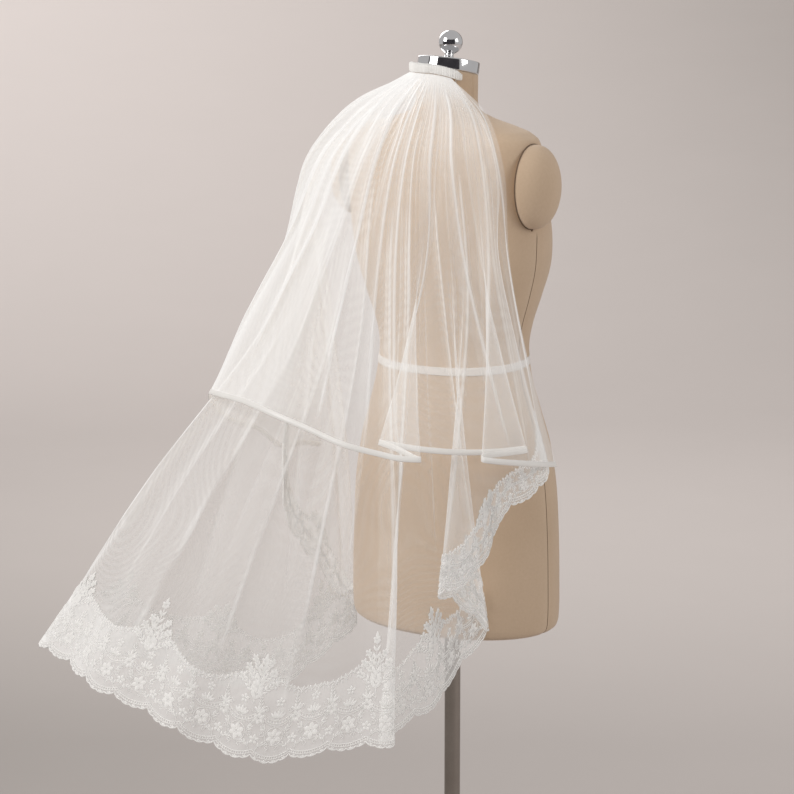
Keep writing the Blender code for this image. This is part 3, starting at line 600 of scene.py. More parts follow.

# %% [markdown]
# ## Seams and the waist tape
# A thin dark line of thread runs round each arm plate, with a small knot under the right one. A side
# seam runs down the cover below each plate. The seam thread's dark colour is partly painted shade: it
# also stands for the shade in the creases where the parts meet. A pale twill tape marks the waist.

# %% Seams round the arm plates
SEAM_CORD = 0.0009
SEAM_SIDES = 6
SEAM_STEPS = 96
SEAM_BEDDING = 0.6
SIDE_SEAM_HALF = 0.0007
KNOT_RADIUS = 0.0020
KNOT_OUT = 0.0005
# Painted shade: the seam thread is dark partly to stand for the shade in the seam's crease.
SEAM_THREAD_SHADE_DARK = (0.13, 0.085, 0.055, 1.0)
SEAM_THREAD_SHADE_PALE = (0.24, 0.165, 0.11, 1.0)
seam = Finish("seam_shadow_thread")
seam_ply = seam.noise(seam.place(), 700.0)
seam_inputs = {"Base Color": seam.blend(seam_ply, SEAM_THREAD_SHADE_DARK, SEAM_THREAD_SHADE_PALE), "Roughness": 0.9}
seam_thread_shade_material = seam.surface(seam_inputs, seam_ply, 0.4, 0.0002)
round_cord = np.arange(SEAM_SIDES) * 2.0 * math.pi / SEAM_SIDES
for name, side in (("plate_seam_right", 1.0), ("plate_seam_left", -1.0)):
    cord_rings = []
    for turn in np.linspace(0.0, 2.0 * math.pi, SEAM_STEPS + 1)[:-1]:
        outward = np.array([0.0, math.cos(turn), math.sin(turn)])
        centre = np.array([side * (ARM_X + SEAM_CORD), ARM_Y, ARM_Z])
        bedded = SEAM_CORD * SEAM_BEDDING
        centre = centre + outward * [0.0, ARM_HALF_DEPTH + bedded, ARM_HALF_HEIGHT + bedded]
        cord_rings.append([
            centre + SEAM_CORD * (outward * math.cos(a) + np.array([side * math.sin(a), 0.0, 0.0]))
            for a in round_cord
        ])
    cord_rings.append(cord_rings[0])
    add_grid(name, np.array(cord_rings), seam_thread_shade_material, closed=True)
knot_line = []
for step in range(9):
    angle = math.pi * step / 8
    knot_line.append((max(KNOT_RADIUS * math.sin(angle), AXIS), -KNOT_RADIUS * math.cos(angle)))
knot = turned_rings(knot_line, 12) + [ARM_X + KNOT_OUT, ARM_Y, ARM_Z - ARM_HALF_HEIGHT - KNOT_RADIUS]
add_grid("plate_knot", knot, seam_thread_shade_material, closed=True)
seam_top = ARM_Z - ARM_HALF_HEIGHT - 2.0 * KNOT_RADIUS
for name, column in (("side_seam_right", 0), ("side_seam_left", FORM_SIDES // 2)):
    line = body_rings[body_rings[:, column, 2] < seam_top, column]
    section = np.stack([np.cos(round_cord), np.sin(round_cord), 0.0 * round_cord], axis=-1)
    thickness = np.full(len(line), SIDE_SEAM_HALF)
    thickness[[0, -1]] = AXIS
    side_cord = line[:, None, :] + section[None, :, :] * thickness[:, None, None]
    add_grid(name, side_cord, seam_thread_shade_material, closed=True)

# %% Waist tape
TAPE_Z = 1.052
TAPE_WIDTH = 0.012
TAPE_TILT = math.radians(3.7)
TAPE_OUT = 0.0012
TAPE_DARK = (0.70, 0.66, 0.62, 1.0)
TAPE_PALE = (0.82, 0.79, 0.76, 1.0)
tape = Finish("waist_tape_cotton")
twill_inputs = {"Vector": tape.place(), "Scale": 420.0}
twill = tape.signal("ShaderNodeTexWave", {"bands_direction": "DIAGONAL"}, twill_inputs, 1)
tape_inputs = {"Base Color": tape.blend(twill, TAPE_DARK, TAPE_PALE), "Roughness": 0.8}
tape_material = tape.surface(tape_inputs, twill, 0.4, 0.0003)


def tape_ring(offset, out):
    """Points round the waist on the tilted plane, a little above the cover."""
    points = []
    for column in range(FORM_SIDES):
        line = body_rings[:, column]
        height = TAPE_Z + offset + np.interp(TAPE_Z, line[:, 2], line[:, 1]) * math.tan(TAPE_TILT)
        point = np.array([np.interp(height, line[:, 2], line[:, axis]) for axis in range(3)])
        outward = unit(point * [1.0, 1.0, 0.0])
        points.append(point + outward * out)
    return points


tape_offsets = [(-0.5, 0.0), (-0.5, 0.9), (-0.42, 1.0), (0.42, 1.0), (0.5, 0.9), (0.5, 0.0)]
tape_rings = np.array([tape_ring(share * TAPE_WIDTH, out * TAPE_OUT) for share, out in tape_offsets])
add_grid("waist_tape_band", tape_rings, tape_material, closed=True, replaces=["waist_tape"])

# %% [markdown]
# ## Chrome
# Polished metal has no colour of its own to speak of. It shows the bright lamps and the darker room.
# A little uneven roughness stops it from looking like a mirror drawn by a computer.

# %% Chrome and the stand
def metal_finish(name, dark, light, polish_low, polish_spread):
    metal = Finish(name)
    place = metal.place()
    smear = metal.noise(place, 35.0, 6.0)
    lines = metal.noise(metal.stretch(place, (1.0, 1.0, 0.04)), 420.0)
    polish = (smear * polish_spread + lines * 0.05 + polish_low).between(0.04, 0.4)
    inputs = {"Base Color": metal.blend(smear, dark, light), "Roughness": polish, "Metallic": 1.0}
    return metal.surface(inputs)


CHROME_TONES = ((0.66, 0.66, 0.67, 1.0), (0.76, 0.76, 0.77, 1.0))
STEEL_TONES = ((0.27, 0.24, 0.215, 1.0), (0.35, 0.32, 0.29, 1.0))
chrome_material = metal_finish("polished_chrome", *CHROME_TONES, 0.02, 0.08)
pole_material = metal_finish("pole_steel", *STEEL_TONES, 0.10, 0.10)

CAP_RADIUS = 0.0480
CAP_THICKNESS = 0.0190
cap_line = [(AXIS, GAP), (CAP_RADIUS, GAP), (CAP_RADIUS, CAP_THICKNESS), (AXIS, CAP_THICKNESS)]
cap = tilted(turned_rings(rounded(cap_line, 0.0022), 96))
add_grid("neck_cap_turned", cap, chrome_material, closed=True, replaces=["neck_cap"])

BALL_RADIUS = 0.0185
STEM_RADIUS = 0.0070
STEM_LENGTH = 0.0090
stem_start = CAP_THICKNESS + GAP
start = math.asin(STEM_RADIUS / BALL_RADIUS)
ball_centre = stem_start + STEM_LENGTH + BALL_RADIUS * math.cos(start)
ball_line = [(AXIS, stem_start), (STEM_RADIUS + 0.003, stem_start)]
ball_line += [(STEM_RADIUS + 0.003, stem_start + 0.002), (STEM_RADIUS, stem_start + 0.003)]
ball_line.append((STEM_RADIUS, stem_start + STEM_LENGTH - 0.001))
for step in range(25):
    angle = start + (math.pi - start) * step / 24
    radius = max(BALL_RADIUS * math.sin(angle), AXIS)
    ball_line.append((radius, ball_centre - BALL_RADIUS * math.cos(angle)))
ball = tilted(turned_rings(ball_line, 48))
add_grid("finial_ball", ball, chrome_material, closed=True, replaces=["finial"])

POLE_RADIUS = 0.0125
BASE_RADIUS = 0.190
BASE_THICKNESS = 0.012
pole_line = [(POLE_RADIUS, BASE_THICKNESS + GAP), (POLE_RADIUS, TORSO_SECTIONS[0].height - GAP)]
pole = turned_rings(pole_line, 48)
add_grid("pole_tube", pole, pole_material, closed=True, replaces=["pole"])
base_line = [(AXIS, 0.0), (BASE_RADIUS, 0.0)]
base_line += [(BASE_RADIUS, BASE_THICKNESS), (AXIS, BASE_THICKNESS)]
base = turned_rings(rounded(base_line, 0.0025), 128)
add_grid("base_plate", base, chrome_material, closed=True, replaces=["base"])

# %% [markdown]
# ## How the cloth hangs
# A veil hangs from its gathered heading. The threads run from the heading over the shoulders, then
# fall almost straight to the hem. The folds show best at the hem, so a table gives the hem's crests
# and turns, seen from above: how far round the neck, how far out and how far down. The same tables
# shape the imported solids. Here they are read at many more points.

# %% Tables of the two tiers
DROP_FROM = 1.4920
# Rings that both tiers pass through below the heading: over the shoulders, then clear of the back
RingRow = namedtuple("RingRow", "bearing reach drop")
SHOULDER_RING = [
    RingRow(-90.0, 0.176, 0.079),
    RingRow(-66.0, 0.146, 0.072),
    RingRow(-50.0, 0.116, 0.060),
    RingRow(-25.0, 0.102, 0.054),
    RingRow(0.0, 0.097, 0.057),
    RingRow(20.0, 0.096, 0.056),
    RingRow(45.0, 0.100, 0.057),
    RingRow(65.0, 0.112, 0.062),
]
YOKE_RING = [
    RingRow(-90.0, 0.224, 0.155),
    RingRow(-66.0, 0.207, 0.147),
    RingRow(-50.0, 0.182, 0.130),
    RingRow(-25.0, 0.156, 0.122),
    RingRow(0.0, 0.145, 0.128),
    RingRow(20.0, 0.146, 0.128),
    RingRow(45.0, 0.153, 0.129),
    RingRow(65.0, 0.166, 0.134),
]

# Hems from the right free edge to the left one, a row for each crest, turn and side of a fold.
# yoke is the bearing at which the row's thread leaves the yoke ring.
HemRow = namedtuple("HemRow", "yoke bearing reach drop lace")
UPPER_HEM = [
    HemRow(63.0, 89.5, 0.205, 0.584, 0.0),
    HemRow(58.5, 68.0, 0.245, 0.566, 0.0),
    HemRow(54.5, 46.5, 0.277, 0.546, 0.0),
    HemRow(51.0, 47.5, 0.255, 0.546, 0.0),
    HemRow(47.5, 60.5, 0.230, 0.548, 0.0),
    HemRow(44.5, 68.0, 0.221, 0.549, 0.0),
    HemRow(41.5, 70.0, 0.207, 0.550, 0.0),
    HemRow(38.5, 59.0, 0.207, 0.550, 0.0),
    HemRow(35.5, 41.0, 0.220, 0.546, 0.0),
    HemRow(32.5, 25.0, 0.224, 0.541, 0.0),
    HemRow(29.5, 10.0, 0.233, 0.533, 0.0),
    HemRow(26.5, 11.5, 0.240, 0.532, 0.0),
    HemRow(23.5, 19.0, 0.262, 0.534, 0.0),
    HemRow(20.5, 26.5, 0.284, 0.543, 0.0),
    HemRow(17.5, 28.0, 0.293, 0.542, 0.0),
    HemRow(14.5, 22.0, 0.301, 0.540, 0.0),
    HemRow(10.0, 14.5, 0.304, 0.533, 0.0),
    HemRow(3.0, 5.5, 0.316, 0.521, 0.0),
    HemRow(-7.0, -6.0, 0.328, 0.500, 0.0),
    HemRow(-18.0, -18.0, 0.345, 0.482, 0.0),
    HemRow(-29.0, -30.0, 0.358, 0.476, 0.0),
    HemRow(-40.0, -40.5, 0.370, 0.479, 0.0),
    HemRow(-50.0, -51.0, 0.366, 0.500, 0.0),
    HemRow(-59.0, -63.0, 0.343, 0.548, 0.0),
    HemRow(-67.0, -74.5, 0.316, 0.575, 0.0),
    HemRow(-74.0, -85.0, 0.304, 0.612, 0.0),
    HemRow(-80.5, -92.5, 0.294, 0.612, 0.0),
    HemRow(-86.5, -99.0, 0.284, 0.618, 0.0),
]
LOWER_HEM = [
    HemRow(63.0, 91.0, 0.180, 0.565, 0.045),
    HemRow(60.0, 88.0, 0.190, 0.588, 0.045),
    HemRow(57.0, 81.0, 0.192, 0.610, 0.045),
    HemRow(53.5, 69.5, 0.191, 0.624, 0.048),
    HemRow(50.0, 59.5, 0.196, 0.645, 0.050),
    HemRow(46.5, 52.5, 0.208, 0.694, 0.055),
    HemRow(43.5, 41.5, 0.229, 0.733, 0.060),
    HemRow(40.0, 33.0, 0.243, 0.747, 0.060),
    HemRow(37.5, 37.0, 0.208, 0.759, 0.060),
    HemRow(34.5, 46.0, 0.182, 0.788, 0.065),
    HemRow(31.5, 56.5, 0.164, 0.819, 0.070),
    HemRow(28.5, 60.5, 0.149, 0.833, 0.075),
    HemRow(26.0, 54.0, 0.143, 0.853, 0.080),
    HemRow(23.5, 42.0, 0.151, 0.885, 0.085),
    HemRow(21.0, 30.0, 0.174, 0.934, 0.095),
    HemRow(18.5, 18.5, 0.207, 0.956, 0.100),
    HemRow(16.0, 12.0, 0.244, 0.975, 0.100),
    HemRow(13.5, 12.5, 0.255, 0.973, 0.100),
    HemRow(11.0, 16.0, 0.268, 0.971, 0.100),
    HemRow(8.5, 19.3, 0.281, 0.966, 0.100),
    HemRow(6.0, 20.0, 0.294, 0.964, 0.100),
    HemRow(3.5, 15.5, 0.306, 0.964, 0.100),
    HemRow(0.0, 9.0, 0.318, 0.967, 0.105),
    HemRow(-4.5, 2.0, 0.351, 0.974, 0.110),
    HemRow(-9.5, -5.5, 0.392, 0.985, 0.110),
    HemRow(-15.0, -11.5, 0.435, 0.973, 0.105),
    HemRow(-20.5, -16.5, 0.471, 0.952, 0.100),
    HemRow(-26.5, -21.0, 0.507, 0.928, 0.100),
    HemRow(-32.5, -27.5, 0.545, 0.905, 0.095),
    HemRow(-38.5, -35.0, 0.584, 0.880, 0.095),
    HemRow(-44.5, -42.0, 0.610, 0.867, 0.090),
    HemRow(-50.0, -48.0, 0.622, 0.864, 0.090),
    HemRow(-54.5, -54.5, 0.605, 0.883, 0.090),
    HemRow(-58.0, -60.0, 0.551, 0.915, 0.090),
    HemRow(-61.0, -65.5, 0.482, 0.942, 0.090),
    HemRow(-63.5, -70.5, 0.412, 0.974, 0.090),
    HemRow(-66.0, -77.0, 0.341, 0.998, 0.090),
    HemRow(-68.5, -82.0, 0.283, 0.984, 0.085),
    HemRow(-70.5, -88.0, 0.250, 0.952, 0.080),
    HemRow(-72.5, -95.0, 0.224, 0.921, 0.070),
    HemRow(-74.5, -102.0, 0.214, 0.898, 0.065),
    HemRow(-76.5, -104.0, 0.230, 0.890, 0.060),
    HemRow(-78.0, -99.0, 0.249, 0.851, 0.060),
    HemRow(-79.5, -92.0, 0.267, 0.792, 0.055),
    HemRow(-81.0, -87.0, 0.277, 0.762, 0.050),
    HemRow(-82.5, -82.0, 0.284, 0.720, 0.048),
    HemRow(-84.0, -78.0, 0.281, 0.673, 0.045),
    HemRow(-86.0, -75.0, 0.275, 0.596, 0.045),
]

# How far each thread has come at two places between the yoke ring and the hem. A fold first grows
# outward and only then turns aside, so its layers stay apart where it begins.
FallStage = namedtuple("FallStage", "fallen fold_out fold_aside sag")
FALL_STAGES = [
    FallStage(0.30, 0.38, 0.15, 1.0),
    FallStage(0.65, 0.76, 0.55, 0.6),
]
print("hem rows:", len(UPPER_HEM), len(LOWER_HEM))

# %% [markdown]
# ## From tables to cloth
# Each thread is one smooth curve from the heading, through both rings and two stages of its fall,
# to its place on the hem. A fold is the part of the hem that leaves its smooth trend. It grows outward
# first and turns aside lower down, so its layers never cross.

# %% Thread grid
HEADING_BEARING = 58.0
HEADING_Z = 1.4935
HEADING_DIP = 0.0125
LOWER_HEADING = 0.0527
UPPER_HEADING = 0.0559
FLUTE = 0.0065
FLUTE_REACH = 0.26
LOWER_SAG = 0.150
UPPER_SAG = 0.040
TIER_LIFT = 0.0120


def from_neck(bearing, reach, drop):
    """The world point at a bearing, a reach out from the neck's axis and a drop."""
    angle = np.radians(bearing)
    return np.stack(
        [reach * np.sin(angle), NECK_Y - reach * np.cos(angle), DROP_FROM - drop + 0.0 * angle],
        axis=-1,
    )


def heading_height(bearing):
    """The heading's underside: level at the back, lower toward the right end."""
    return HEADING_Z - HEADING_DIP * np.clip(bearing / HEADING_BEARING, 0.0, 1.0) ** 2


def grid_normals(grid):
    down = np.gradient(grid, axis=0)
    along = np.gradient(grid, axis=1)
    return unit(np.cross(along, down))


def fold_trend(hem_points, stops):
    fits = [np.polyfit(stops / stops[-1], hem_points[:, axis], 4) for axis in range(3)]
    return np.stack([np.polyval(fit, stops / stops[-1]) for fit in fits], axis=-1)


def thread_grid(hem, heading_radius, lift, sag, span_columns, rows):
    """Rows run from the heading to the hem, columns from the right free edge to the left one."""
    table = np.array(hem)
    spans = len(hem) - 1
    stops = np.linspace(0.0, spans, spans * span_columns + 1)
    hem_points = through(from_neck(table[:, 1], table[:, 2], table[:, 3]), stops)
    yoke = np.interp(stops, np.arange(spans + 1), table[:, 0])
    heading = yoke * HEADING_BEARING / np.abs(table[[0, -1], 0]).max()

    hem_normal = unit(np.cross([0.0, 0.0, 1.0], np.gradient(hem_points, axis=0)))
    reach = np.linalg.norm(hem_points[:, :2] - [0.0, NECK_Y], axis=1)
    flute = FLUTE * np.clip((reach - FLUTE_REACH) / FLUTE_REACH, 0.0, 1.0)
    hem_points += hem_normal * (flute * np.sin(math.pi * stops))[:, None]

    tops = from_neck(heading, heading_radius, 0.0)
    tops[:, 2] = heading_height(heading) - 0.0008
    rings = []
    for ring in (SHOULDER_RING, YOKE_RING):
        columns = np.array(ring)
        out = smooth_between(yoke, columns[:, 0], columns[:, 1]) + lift
        drop = smooth_between(yoke, columns[:, 0], columns[:, 2]) - lift / 2.0
        rings.append(from_neck(yoke, out, drop))
    shoulders, yokes = rings

    spread = (reach - np.linalg.norm(yokes[:, :2] - [0.0, NECK_Y], axis=1)).clip(0.0)
    inward = unit((yokes - hem_points) * [1.0, 1.0, 0.0])
    trend = fold_trend(hem_points, stops)
    outward = unit((trend - [0.0, NECK_Y, 0.0]) * [1.0, 1.0, 0.0])
    fold = hem_points - trend
    fold_out = (fold * outward).sum(axis=1, keepdims=True) * outward
    fold_aside = fold - fold_out
    falling = []
    for stage in FALL_STAGES:
        line = yokes + (trend - yokes) * stage.fallen
        line += fold_out * stage.fold_out + fold_aside * stage.fold_aside
        falling.append(line + inward * (sag * stage.sag * spread)[:, None])

    shares = np.linspace(0.0, 1.0, rows) ** 1.25
    grid = []
    for column in range(len(stops)):
        thread = [tops[column], shoulders[column], yokes[column]]
        thread += [line[column] for line in falling] + [hem_points[column]]
        fine = through(np.array(thread), np.linspace(0.0, len(thread) - 1.0, 201))
        length = np.concatenate([[0.0], np.cumsum(np.linalg.norm(np.diff(fine, axis=0), axis=1))])
        places = shares * length[-1]
        grid.append([[np.interp(far, length, fine[:, axis]) for axis in range(3)] for far in places])
    return np.array(grid).transpose(1, 0, 2), stops, yoke


# %% [markdown]
# ## Gathers and long creases
# Net has almost no weight. It keeps every gather that the heading gives it, and each one runs down as
# a soft crease until it fades. A few creases are long and sharp, because the net doubles there. They
# are listed in two tables: where a crease starts and ends round the yoke, how far down it
# runs, how high and how wide it is, and how much doubled net it holds. No two are alike.

# %% Crease tables
Crease = namedtuple("Crease", "from_yoke to_yoke start end height width doubled")
UPPER_CREASES = [
    Crease(60.0, 60.5, 0.05, 0.93, 0.0040, 0.0060, 0.5),
    Crease(52.0, 54.0, 0.04, 0.80, 0.0050, 0.0070, 0.6),
    Crease(45.0, 46.0, 0.10, 0.62, -0.0030, 0.0080, 0.2),
    Crease(37.0, 39.5, 0.03, 0.99, 0.0060, 0.0055, 1.1),
    Crease(30.0, 27.5, 0.06, 0.55, -0.0040, 0.0075, 0.3),
    Crease(25.5, 28.5, 0.04, 0.95, 0.0050, 0.0060, 0.9),
    Crease(18.0, 16.0, 0.12, 0.70, 0.0040, 0.0085, 0.4),
    Crease(12.0, 14.0, 0.03, 0.98, 0.0060, 0.0055, 0.9),
    Crease(5.0, 8.5, 0.05, 0.99, 0.0055, 0.0060, 0.9),
    Crease(0.5, -2.0, 0.10, 0.60, -0.0045, 0.0090, 0.2),
    Crease(-6.0, -3.0, 0.04, 0.97, 0.0070, 0.0075, 1.6),
    Crease(-12.0, -15.5, 0.08, 0.78, 0.0040, 0.0080, 0.4),
    Crease(-19.0, -18.0, 0.14, 0.50, -0.0050, 0.0110, 0.1),
    Crease(-25.0, -29.0, 0.05, 0.90, 0.0050, 0.0075, 0.6),
    Crease(-34.0, -33.0, 0.10, 0.64, 0.0035, 0.0090, 0.3),
    Crease(-41.0, -46.0, 0.06, 0.97, 0.0060, 0.0070, 0.8),
    Crease(-52.0, -53.0, 0.12, 0.58, -0.0040, 0.0100, 0.2),
    Crease(-58.0, -61.0, 0.04, 0.86, 0.0050, 0.0070, 0.7),
    Crease(-67.0, -66.0, 0.08, 0.70, 0.0040, 0.0080, 0.4),
    Crease(-74.0, -77.0, 0.05, 0.96, 0.0055, 0.0065, 0.8),
    Crease(-82.0, -83.0, 0.05, 0.88, 0.0040, 0.0065, 0.6),
]
LOWER_CREASES = [
    Crease(61.5, 61.0, 0.10, 0.80, 0.0030, 0.0070, 0.3),
    Crease(55.0, 56.5, 0.20, 0.96, 0.0035, 0.0070, 0.4),
    Crease(48.0, 47.5, 0.30, 0.88, -0.0030, 0.0080, 0.2),
    Crease(42.0, 40.5, 0.20, 0.97, 0.0050, 0.0065, 0.8),
    Crease(33.0, 35.5, 0.34, 0.80, 0.0035, 0.0080, 0.3),
    Crease(27.0, 29.0, 0.20, 0.97, 0.0050, 0.0065, 0.7),
    Crease(21.0, 22.0, 0.30, 0.85, -0.0030, 0.0080, 0.2),
    Crease(14.5, 14.8, 0.20, 0.98, 0.0055, 0.0065, 0.8),
    Crease(10.0, 9.0, 0.36, 0.75, 0.0030, 0.0090, 0.3),
    Crease(4.5, 6.0, 0.20, 0.98, 0.0050, 0.0070, 0.7),
    Crease(-1.5, -4.0, 0.36, 0.80, 0.0040, 0.0100, 0.3),
    Crease(-8.0, -9.5, 0.15, 0.97, 0.0060, 0.0085, 0.9),
    Crease(-14.0, -12.5, 0.40, 0.82, -0.0045, 0.0110, 0.1),
    Crease(-19.0, -21.5, 0.24, 0.95, 0.0055, 0.0085, 0.6),
    Crease(-27.0, -26.0, 0.42, 0.90, -0.0040, 0.0120, 0.1),
    Crease(-31.0, -34.5, 0.20, 0.97, 0.0060, 0.0090, 0.7),
    Crease(-41.0, -40.0, 0.36, 0.86, 0.0040, 0.0110, 0.3),
    Crease(-47.0, -50.5, 0.22, 0.98, 0.0060, 0.0085, 0.8),
    Crease(-56.0, -55.0, 0.30, 0.84, -0.0040, 0.0100, 0.2),
    Crease(-60.0, -62.5, 0.20, 0.96, 0.0050, 0.0080, 0.6),
    Crease(-67.0, -67.5, 0.34, 0.90, 0.0035, 0.0080, 0.3),
    Crease(-71.0, -73.0, 0.20, 0.97, 0.0045, 0.0065, 0.6),
    Crease(-77.0, -76.5, 0.36, 0.84, -0.0030, 0.0080, 0.2),
    Crease(-80.5, -82.0, 0.20, 0.96, 0.0040, 0.0065, 0.5),
    Crease(-84.5, -85.0, 0.12, 0.82, 0.0030, 0.0060, 0.3),
]
print("creases:", len(UPPER_CREASES), len(LOWER_CREASES))

# %% Gathers and creases on a grid
GATHER = 0.0019
GATHER_DEPTH = 0.055
LONG_GATHER = 0.0016
FINE_GATHER = 0.0006
TIGHTEST = 0.0008
STEEPEST = 0.75
LINE_WIDTH = 0.0017
LINE_LAYERS = 6.0
BAND_WIDTH = 1.5
BAND_LAYERS = 0.55
MOST_LAYERS = 9.0
FOLDED_SEED = 7
HEADING_LAYERS = 4.0
HEADING_FADE = 0.036
Fullness = namedtuple("Fullness", "yoke layers spreading")
UPPER_FULLNESS = [
    Fullness(-86.5, 2.2, 0.35),
    Fullness(-60.0, 2.6, 0.50),
    Fullness(-30.0, 2.6, 0.60),
    Fullness(-15.0, 2.2, 0.60),
    Fullness(-11.0, 1.4, 0.20),
    Fullness(-7.0, 0.9, 0.03),
    Fullness(63.0, 0.9, 0.03),
]
LOWER_FULLNESS = [
    Fullness(-86.0, 1.0, 0.20),
    Fullness(-20.0, 1.0, 0.20),
    Fullness(0.0, 1.0, 0.03),
    Fullness(63.0, 1.0, 0.03),
]


def creased(grid, stops, yoke, creases, fullness, seed):
    """The grid with its gathers and creases, and the number of net layers at each point."""
    normal = grid_normals(grid)
    along = np.linalg.norm(np.gradient(grid, axis=1), axis=2)
    step = stops[1] - stops[0]
    pitch = along / step
    per_degree = along / np.abs(np.gradient(yoke))[None, :]
    rows = grid.shape[0]
    lengths = np.linalg.norm(np.diff(grid, axis=0), axis=2)
    fallen = np.concatenate([np.zeros((1, grid.shape[1])), np.cumsum(lengths, axis=0)])
    share = fallen / fallen[-1]

    generator = np.random.default_rng(seed)
    knots = np.arange(0.0, stops[-1] + 2.0)
    uneven = np.interp(stops, knots, generator.uniform(0.55, 1.15, len(knots)))
    shift = np.interp(stops, knots, generator.uniform(-0.9, 0.9, len(knots)))
    long_share = np.interp(stops, knots, generator.uniform(0.0, 1.0, len(knots)) ** 2)
    deep = fallen / GATHER_DEPTH
    strength = GATHER * (deep * np.exp(1.0 - deep)) ** 2
    strength += LONG_GATHER * long_share * ease(share, 0.04, 0.16) * (1.0 - ease(share, 0.25, 0.80))
    limit = 0.5 * (pitch / (2.0 * math.pi)) ** 2 / TIGHTEST
    strength = np.minimum(strength, np.minimum(limit, pitch * 0.22)) * uneven
    rise = strength * np.cos(2.0 * math.pi * stops + shift * share * 3.0)

    fine_wave = np.interp(stops, knots, generator.uniform(0.2, 1.0, len(knots)))
    fine_height = FINE_GATHER * fine_wave * ease(share, 0.02, 0.10) * (1.0 - ease(share, 0.20, 0.55))
    rise += np.minimum(fine_height, pitch * 0.06) * np.sin(4.6 * math.pi * stops + 1.3)

    hem_pitch = np.minimum(pitch[-1], np.median(pitch[-1]) * 1.5)
    layers = np.clip(hem_pitch / pitch, 1.0, MOST_LAYERS)
    fuller = np.array(fullness)
    base_layers = np.interp(yoke, fuller[:, 0], fuller[:, 1])[None, :]
    spreading = np.interp(yoke, fuller[:, 0], fuller[:, 2])[None, :]
    at_heading = HEADING_LAYERS * np.exp(-((fallen / HEADING_FADE) ** 1.5))
    layers = base_layers * (1.0 + (layers - 1.0) * spreading) + at_heading
    for crease in creases:
        centre = crease.from_yoke + (crease.to_yoke - crease.from_yoke) * share
        away = (yoke[None, :] - centre) * per_degree
        window = ease(share, crease.start, crease.start + 0.12)
        window *= 1.0 - ease(share, crease.end - 0.22, crease.end)
        width = np.minimum(crease.width, 0.004 + 0.03 * share)
        shape = np.exp(-(away / width) ** 2)
        height = np.minimum(np.abs(crease.height), width * STEEPEST) * np.sign(crease.height)
        rise += height * shape * window
        line = np.exp(-(away / LINE_WIDTH) ** 2)
        half_band = width * BAND_WIDTH
        band = np.exp(-((away + half_band) / half_band) ** 8)
        held_net = ease(share, crease.start, crease.start + 0.06) * window ** 0.5
        layers += crease.doubled * (line * LINE_LAYERS + band * BAND_LAYERS) * held_net
    held = ease(fallen, 0.002, 0.012)
    return grid + normal * (rise * held)[:, :, None], fallen, layers


UPPER_SPAN_COLUMNS = 16
LOWER_SPAN_COLUMNS = 11
UPPER_ROWS = 76
LOWER_ROWS = 104
upper_plain, upper_stops, upper_yoke = thread_grid(
    UPPER_HEM, UPPER_HEADING, TIER_LIFT, UPPER_SAG, UPPER_SPAN_COLUMNS, UPPER_ROWS
)
lower_plain, lower_stops, lower_yoke = thread_grid(
    LOWER_HEM, LOWER_HEADING, 0.0, LOWER_SAG, LOWER_SPAN_COLUMNS, LOWER_ROWS
)
upper, upper_fallen, upper_layers = creased(
    upper_plain, upper_stops, upper_yoke, UPPER_CREASES, UPPER_FULLNESS, FOLDED_SEED
)
lower, lower_fallen, lower_layers = creased(
    lower_plain, lower_stops, lower_yoke, LOWER_CREASES, LOWER_FULLNESS, FOLDED_SEED + 1
)
print("upper grid:", upper.shape[:2], "lower grid:", lower.shape[:2])

# %% [markdown]
# ## Net
# Bridal tulle is a hexagonal net of very fine thread. One layer hides a fifth or less of what lies
# behind it. Seen edge-on, the same net hides much more, and so do gathered or doubled layers. Alpha
# carries all of that: each layer lets a fixed share of light through, and the shares multiply. Two
# layers of net also make moire bands, which soft contour lines stand for. The net's colour has painted
# shade: it is a little darker along soft streaks, like shade in small folds. The net also has a painted
# glow: a small even emission of its own colour, standing in for light that seeps through white thread
# from behind onto the side away from the light.

# %% Net finish
PAINTED_GLOW = 0.04
TULLE = (0.92, 0.915, 0.905, 1.0)
PAINTED_SHADE_SHARE = 0.97
MOIRE_CONTOURS = 560.0
MOIRE_SLANT = 40.0
STREAK_SHARE = 0.34
CELL_SHARE = 0.35
CELL_SCALE = 800.0


